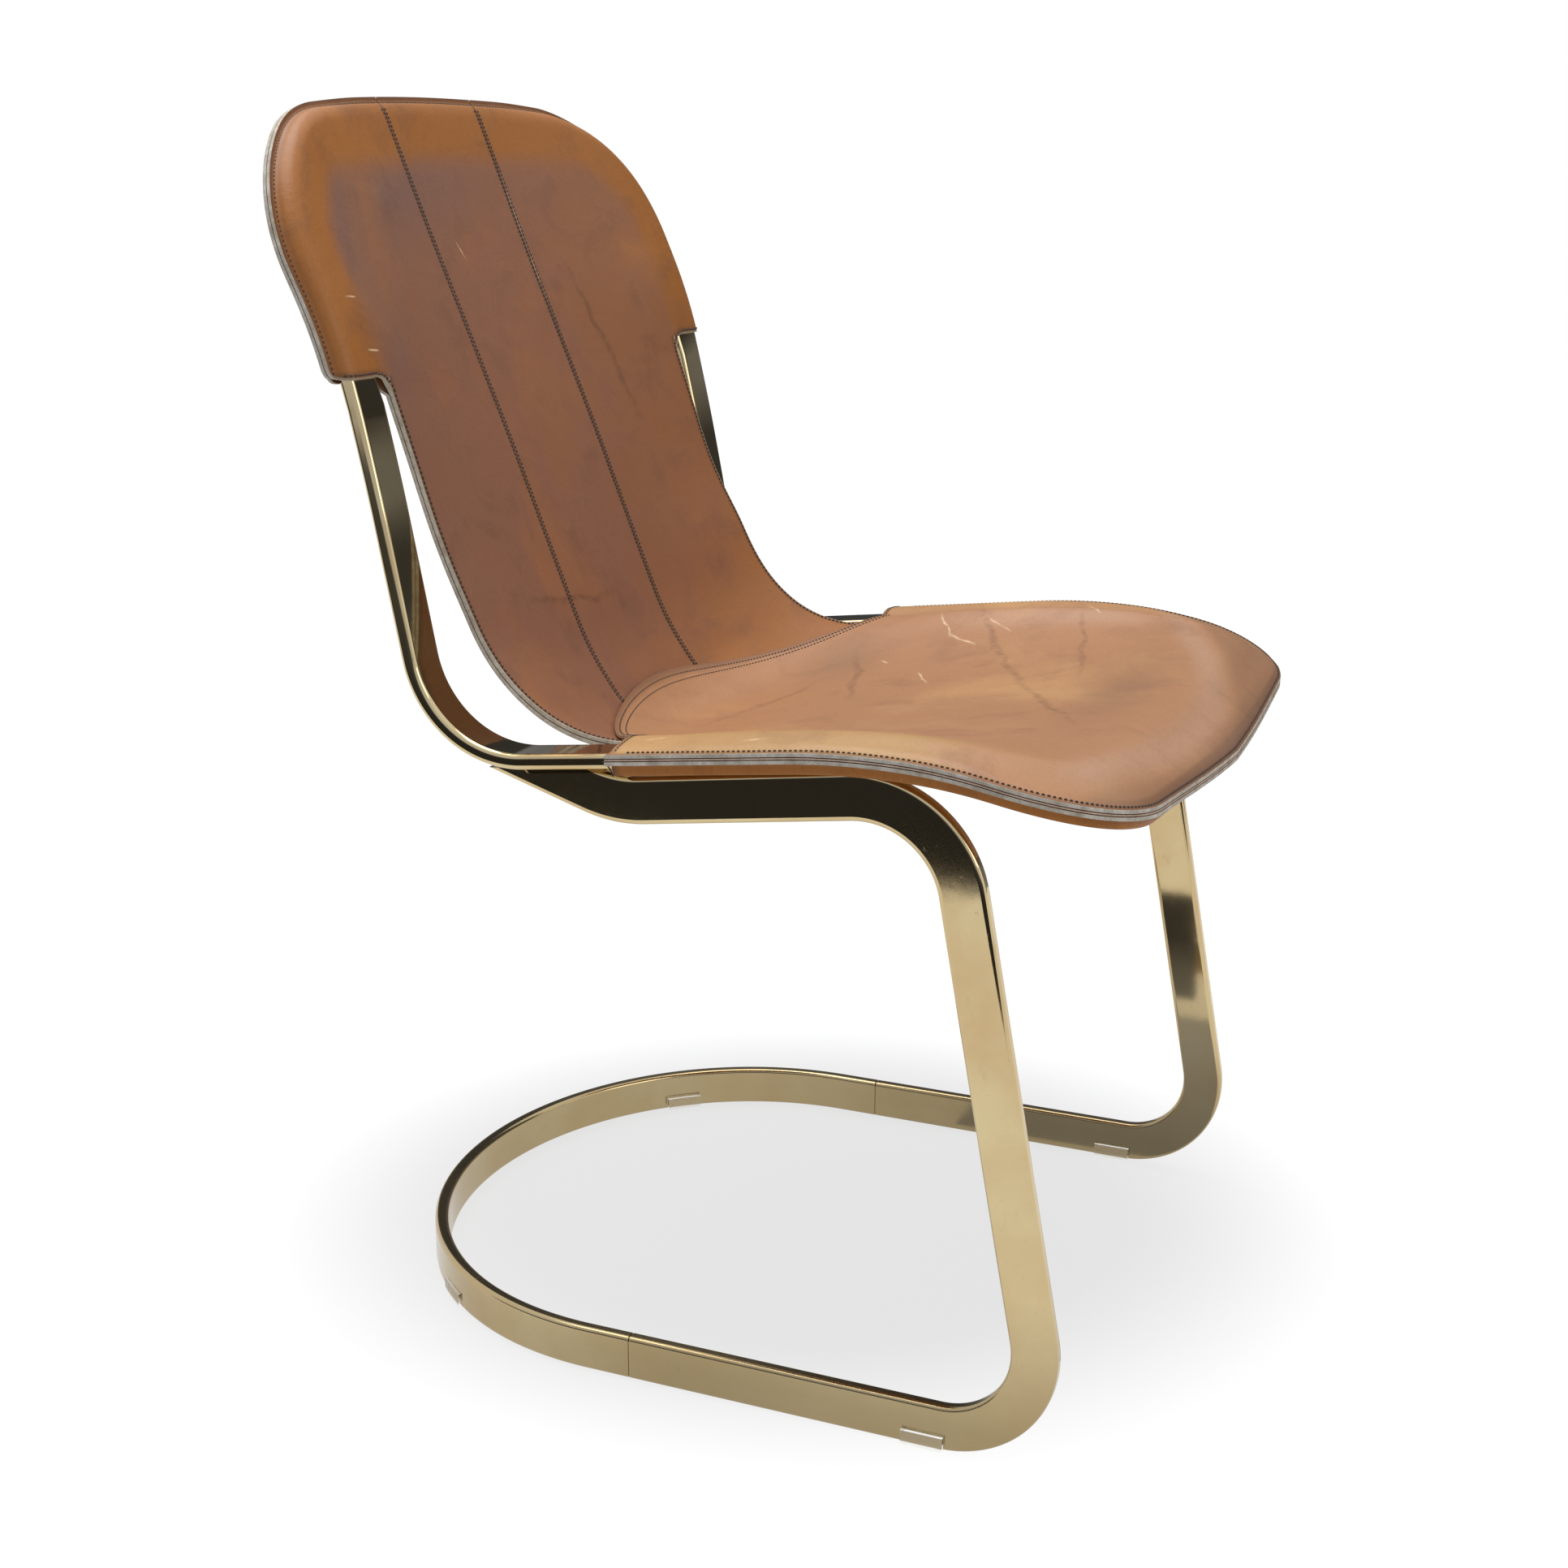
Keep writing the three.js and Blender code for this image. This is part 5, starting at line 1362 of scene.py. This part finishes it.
def outline_line(inset):
    """Parameter line at an inset from the outline, from one mouth over the top to the other."""
    a, r, edge = np.linspace(np.pi / 2, 0, 60), BACK_CORNER - inset, BACK_HALF - inset
    side = np.linspace(float(s_at_height(edge, mouth_line(edge)) - 1.5), BACK_CORNER, 120)[:-1]
    top = np.linspace(CORNER_X, 0, 60)[1:]
    x = np.r_[0 * side + edge, CORNER_X + r * np.sin(a), top]
    s = np.r_[side, BACK_CORNER - r * np.cos(a), 0 * top + inset]
    return np.r_[x, -x[-2::-1]], np.r_[s, s[-2::-1]]


def seam_line(x):
    s = np.linspace(8.5, float(s_at_place(x, tongue(x, -1.5))), 400)
    return on_back(0 * s + x, s)


def sling_line(sign):
    """From the pocket's tip along its mouth, round the fillet and down the sling's edge."""
    columns = np.linspace(BACK_HALF - 6, SLING_HALF + MOUTH_R + 2, 24)
    mouth = s_at_height(columns, mouth_line(columns)) - SLING_ROW
    turn = float(s_at_height(SLING_HALF, mouth_height - MOUTH_R))
    a, r = np.linspace(0, np.pi / 2, 14), MOUTH_R + SLING_ROW
    x = SLING_HALF - SLING_ROW
    s = np.linspace(turn + 2, float(s_at_place(x, tongue(x, -1))), 260)
    return on_back(sign * np.r_[columns, SLING_HALF + MOUTH_R - r * np.sin(a), 0 * s + x],
                   np.r_[mouth, turn - r * np.cos(a), s])


def tongue_line(back, end):
    """A row at a distance ahead of the seat panel's rear edge."""
    x = np.linspace(-end, end, 700)
    slope = np.where(np.abs(x) < INNER_X, 184 * x / INNER_X**2, 0)
    y = tongue(x) - back * np.sqrt(1 + slope**2)
    return on_seat(x, y, np.minimum(SEAT_HALF - np.abs(x), SEAT_BAND))


stitches("back_edge_stitches", on_back(*outline_line(BACK_ROW)))
stitches("back_rear_stitches", on_rear(*outline_line(BACK_ROW)))
seams = (seam_line(x + off) for x in (-SEAM_X, SEAM_X) for off in (-SEAM_ROW, SEAM_ROW))
stitches("back_seam_stitches", *seams, radius=0.48, **FINE)
stitches("sling_edge_stitches", sling_line(-1), sling_line(1))
row = seat_blocks(tongue)[0][3:-3, SEAT_COLUMN].T
stitches("seat_edge_stitches", on_seat(*row))
stitches("seat_lower_stitches", under_seat(*row))
stitches("tongue_stitches", tongue_line(3.2, SEAT_HALF - 8), tongue_line(7.2, INNER_X - 2),
         radius=0.42, **FINE)


def strand(top, middle, foot, radius=0.45):
    """Rings of a round thread along the curve that bends from top past middle to foot."""
    t = np.linspace(0, 1, 12)[:, None]
    curve = (1 - t) ** 2 * top + 2 * t * (1 - t) * middle + t**2 * foot
    d = tangents(curve)
    side = unit(np.cross(d, X_AXIS))
    return sweep(curve, side, np.cross(d, side), radius * np.column_stack(circle(8)))


rings = np.stack([strand(*np.array(ends)) for ends in (
    ([-250, 66, 427.2], [-248, 62.0, 425.0], [-246.2, 61.0, 417.6]),
    ([-250, 65, 427.2], [-248, 57.5, 427.5], [-246.2, 54.5, 418.2]))])
one = ring_faces(*rings.shape[1:3])
blocks = [np.concatenate([b, b + rings[0].size // 3]) for b in one]
make_mesh("loose_threads", rings.reshape(-1, 3), blocks, [thread])
print("loose threads", len(rings))

# %% [markdown]
# The studio is white: the camera and the brass both see a white floor and a white sky.
# Four dark flags are there for reflections only. The two large ones left and right of the
# chair darken the flats of the brass, and above both the sky gives its rounded edges their
# bright lines. The two small ones inside the base are what the far leg and its foot mirror
# low down. Under the chair lies a soft shadow, an ellipse in the floor's own brightness.

# %% Floor
def both_ways(output, seen, other):
    """Camera, glossy and transmitted rays get the first shader, all other rays the second."""
    camera, glossy, clear_ray = (node("LightPath", output=f"Is {kind} Ray")
                                 for kind in ("Camera", "Glossy", "Transmission"))
    share = math("MAXIMUM", camera, math("MAXIMUM", glossy, clear_ray))
    feed(output, {0: node("MixShader", {0: share, 1: other, 2: seen})})


def stage_plane(name, corners, material):
    """A four-cornered stage object, in metres."""
    mesh = bpy.data.meshes.new(name)
    mesh.from_pydata(corners, [], [(0, 1, 2, 3)])
    mesh.materials.append(material)
    obj = linked(name, mesh)
    return obj


def grey_surface(value):
    return node("BsdfDiffuse", {"Color": (value, value, value)})


floor = bpy.data.materials.new("studio_floor")
output = open_tree(floor, "OutputMaterial")
offset = vectors("SUBTRACT", object_place(), (0.058, 0.024, 0))
shares = []
for axis, half_axis in (((0.9208, 0.3898, 0), 0.311), ((0.3898, -0.9208, 0), 0.347)):
    share = math("DIVIDE", vectors("DOT_PRODUCT", offset, axis), half_axis)
    shares.append(times(share, share))
strength = ramp(math("SQRT", plus(*shares)), 0.64, 1.4, 0.74, 1, "SMOOTHSTEP")
glow = node("Emission", {"Color": (1, 1, 1), "Strength": strength})
seen = node("AddShader", {0: glow, 1: grey_surface(0.07)})
both_ways(output, seen, grey_surface(0.6))
stage_plane("floor", [(-9, -9, 0), (9, -9, 0), (9, 9, 0), (-9, 9, 0)], floor)
print("floor", floor.name)

# %% Flags
def flag(name, corners, steps):
    """A dark card seen by glossy rays only. Steps are (height, brightness) pairs."""
    mat = bpy.data.materials.new(name)
    output = open_tree(mat, "OutputMaterial")
    level = axis_of(object_place(), "Z")
    strength = steps[0][1]
    for (low, _), (high, bright) in zip(steps, steps[1:]):
        strength = node("Mix", {0: ramp(level, low, high), 2: strength, 3: bright})
    feed(output, {0: node("Emission", {"Color": (0.94, 0.98, 1.1), "Strength": strength})})
    card = stage_plane(name, corners, mat)
    card.visible_camera = card.visible_diffuse = card.visible_shadow = False
    card.visible_transmission = False


def upright_card(x, y0, y1, z0, z1):
    return [(x, y0, z0), (x, y1, z0), (x, y1, z1), (x, y0, z1)]


flag("flag_near", upright_card(-1.31, -3, 3, 0, 1.5),
     [(0.0, 0.05), (0.03, 0.03), (0.15, 0.035), (0.27, 0.08), (0.38, 0.08), (0.44, 0.14),
      (0.5, 0.72), (1.5, 0.85)])
flag("flag_far", upright_card(2.1, -3.5, 3, 0, 1.9),
     [(0.0, 0.3), (0.45, 0.16), (0.6, 0.06), (0.7, 0.06), (0.82, 0.22), (0.95, 0.22),
      (1.05, 0.05), (1.9, 0.05)])
flag("flag_leg", upright_card(-0.1, -0.17, -0.08, 0.022, 0.125),
     [(0.0, 0.22), (0.05, 0.16), (0.08, 0.06), (0.13, 0.06)])
flag("flag_foot", [(-0.1, -0.3, 0.004), (0.218, -0.3, 0.004), (0.218, -0.04, 0.004),
                   (-0.1, -0.04, 0.004)], [(0.0, 0.42), (1.0, 0.42)])
print("flags 4")

# %% World and lamps
world = bpy.data.worlds.new("studio")
bpy.context.scene.world = world
output = open_tree(world, "OutputWorld")
up = axis_of(node("TexCoord", output="Generated"), "Z")
sky = blend(ramp(up, -0.05, 0.8), (0.34, 0.34, 0.35), (0.62, 0.65, 0.7))
ambient, white = (node("Background", {"Color": colour, "Strength": 1.0})
                  for colour in (sky, (1, 1, 1)))
both_ways(output, white, ambient)


def softbox(name, place, aim, size, power):
    light = bpy.data.lights.new(name, "AREA")
    light.shape, light.size, light.size_y, light.energy = "RECTANGLE", size, size, power
    obj = linked(name, light)
    obj.location = place
    obj.rotation_euler = (Vector(aim) - Vector(place)).to_track_quat("-Z", "Y").to_euler()
    print("softbox", name, power, "W")


softbox("key", (0.15, 0.4, 2.5), (0, 0, 0.45), 1.6, 40)
softbox("front", (-0.6, -2.6, 1.7), (0, 0, 0.5), 1.4, 14)

# %% [markdown]
# The camera stands where the photograph was taken: to the sitter's right, in front, and a
# little under the back's top. Its place and turn came from fitting the frame's outline.

# %% Camera
camera_data = bpy.data.cameras.new("camera")
camera_data.sensor_width, camera_data.lens = 36.0, 50.36
camera_data.clip_start, camera_data.clip_end = 0.05, 60
cam = linked("camera", camera_data)
right, down, ahead = ((0.3902, -0.9207, 0.0015), (-0.2435, -0.1048, -0.9642),
                      (0.8879, 0.3759, -0.2651))
turn = Matrix((right, [-v for v in down], [-v for v in ahead])).transposed()
place = metres([-1386.4, -534.1, 765.6])
cam.matrix_world = Matrix.Translation(place.tolist()) @ turn.to_4x4()
bpy.context.scene.camera = cam
bpy.context.scene.view_settings.view_transform = "Standard"
print("camera at", [round(float(v), 3) for v in place])

# %% Last update of the view layer
bpy.context.view_layer.update()
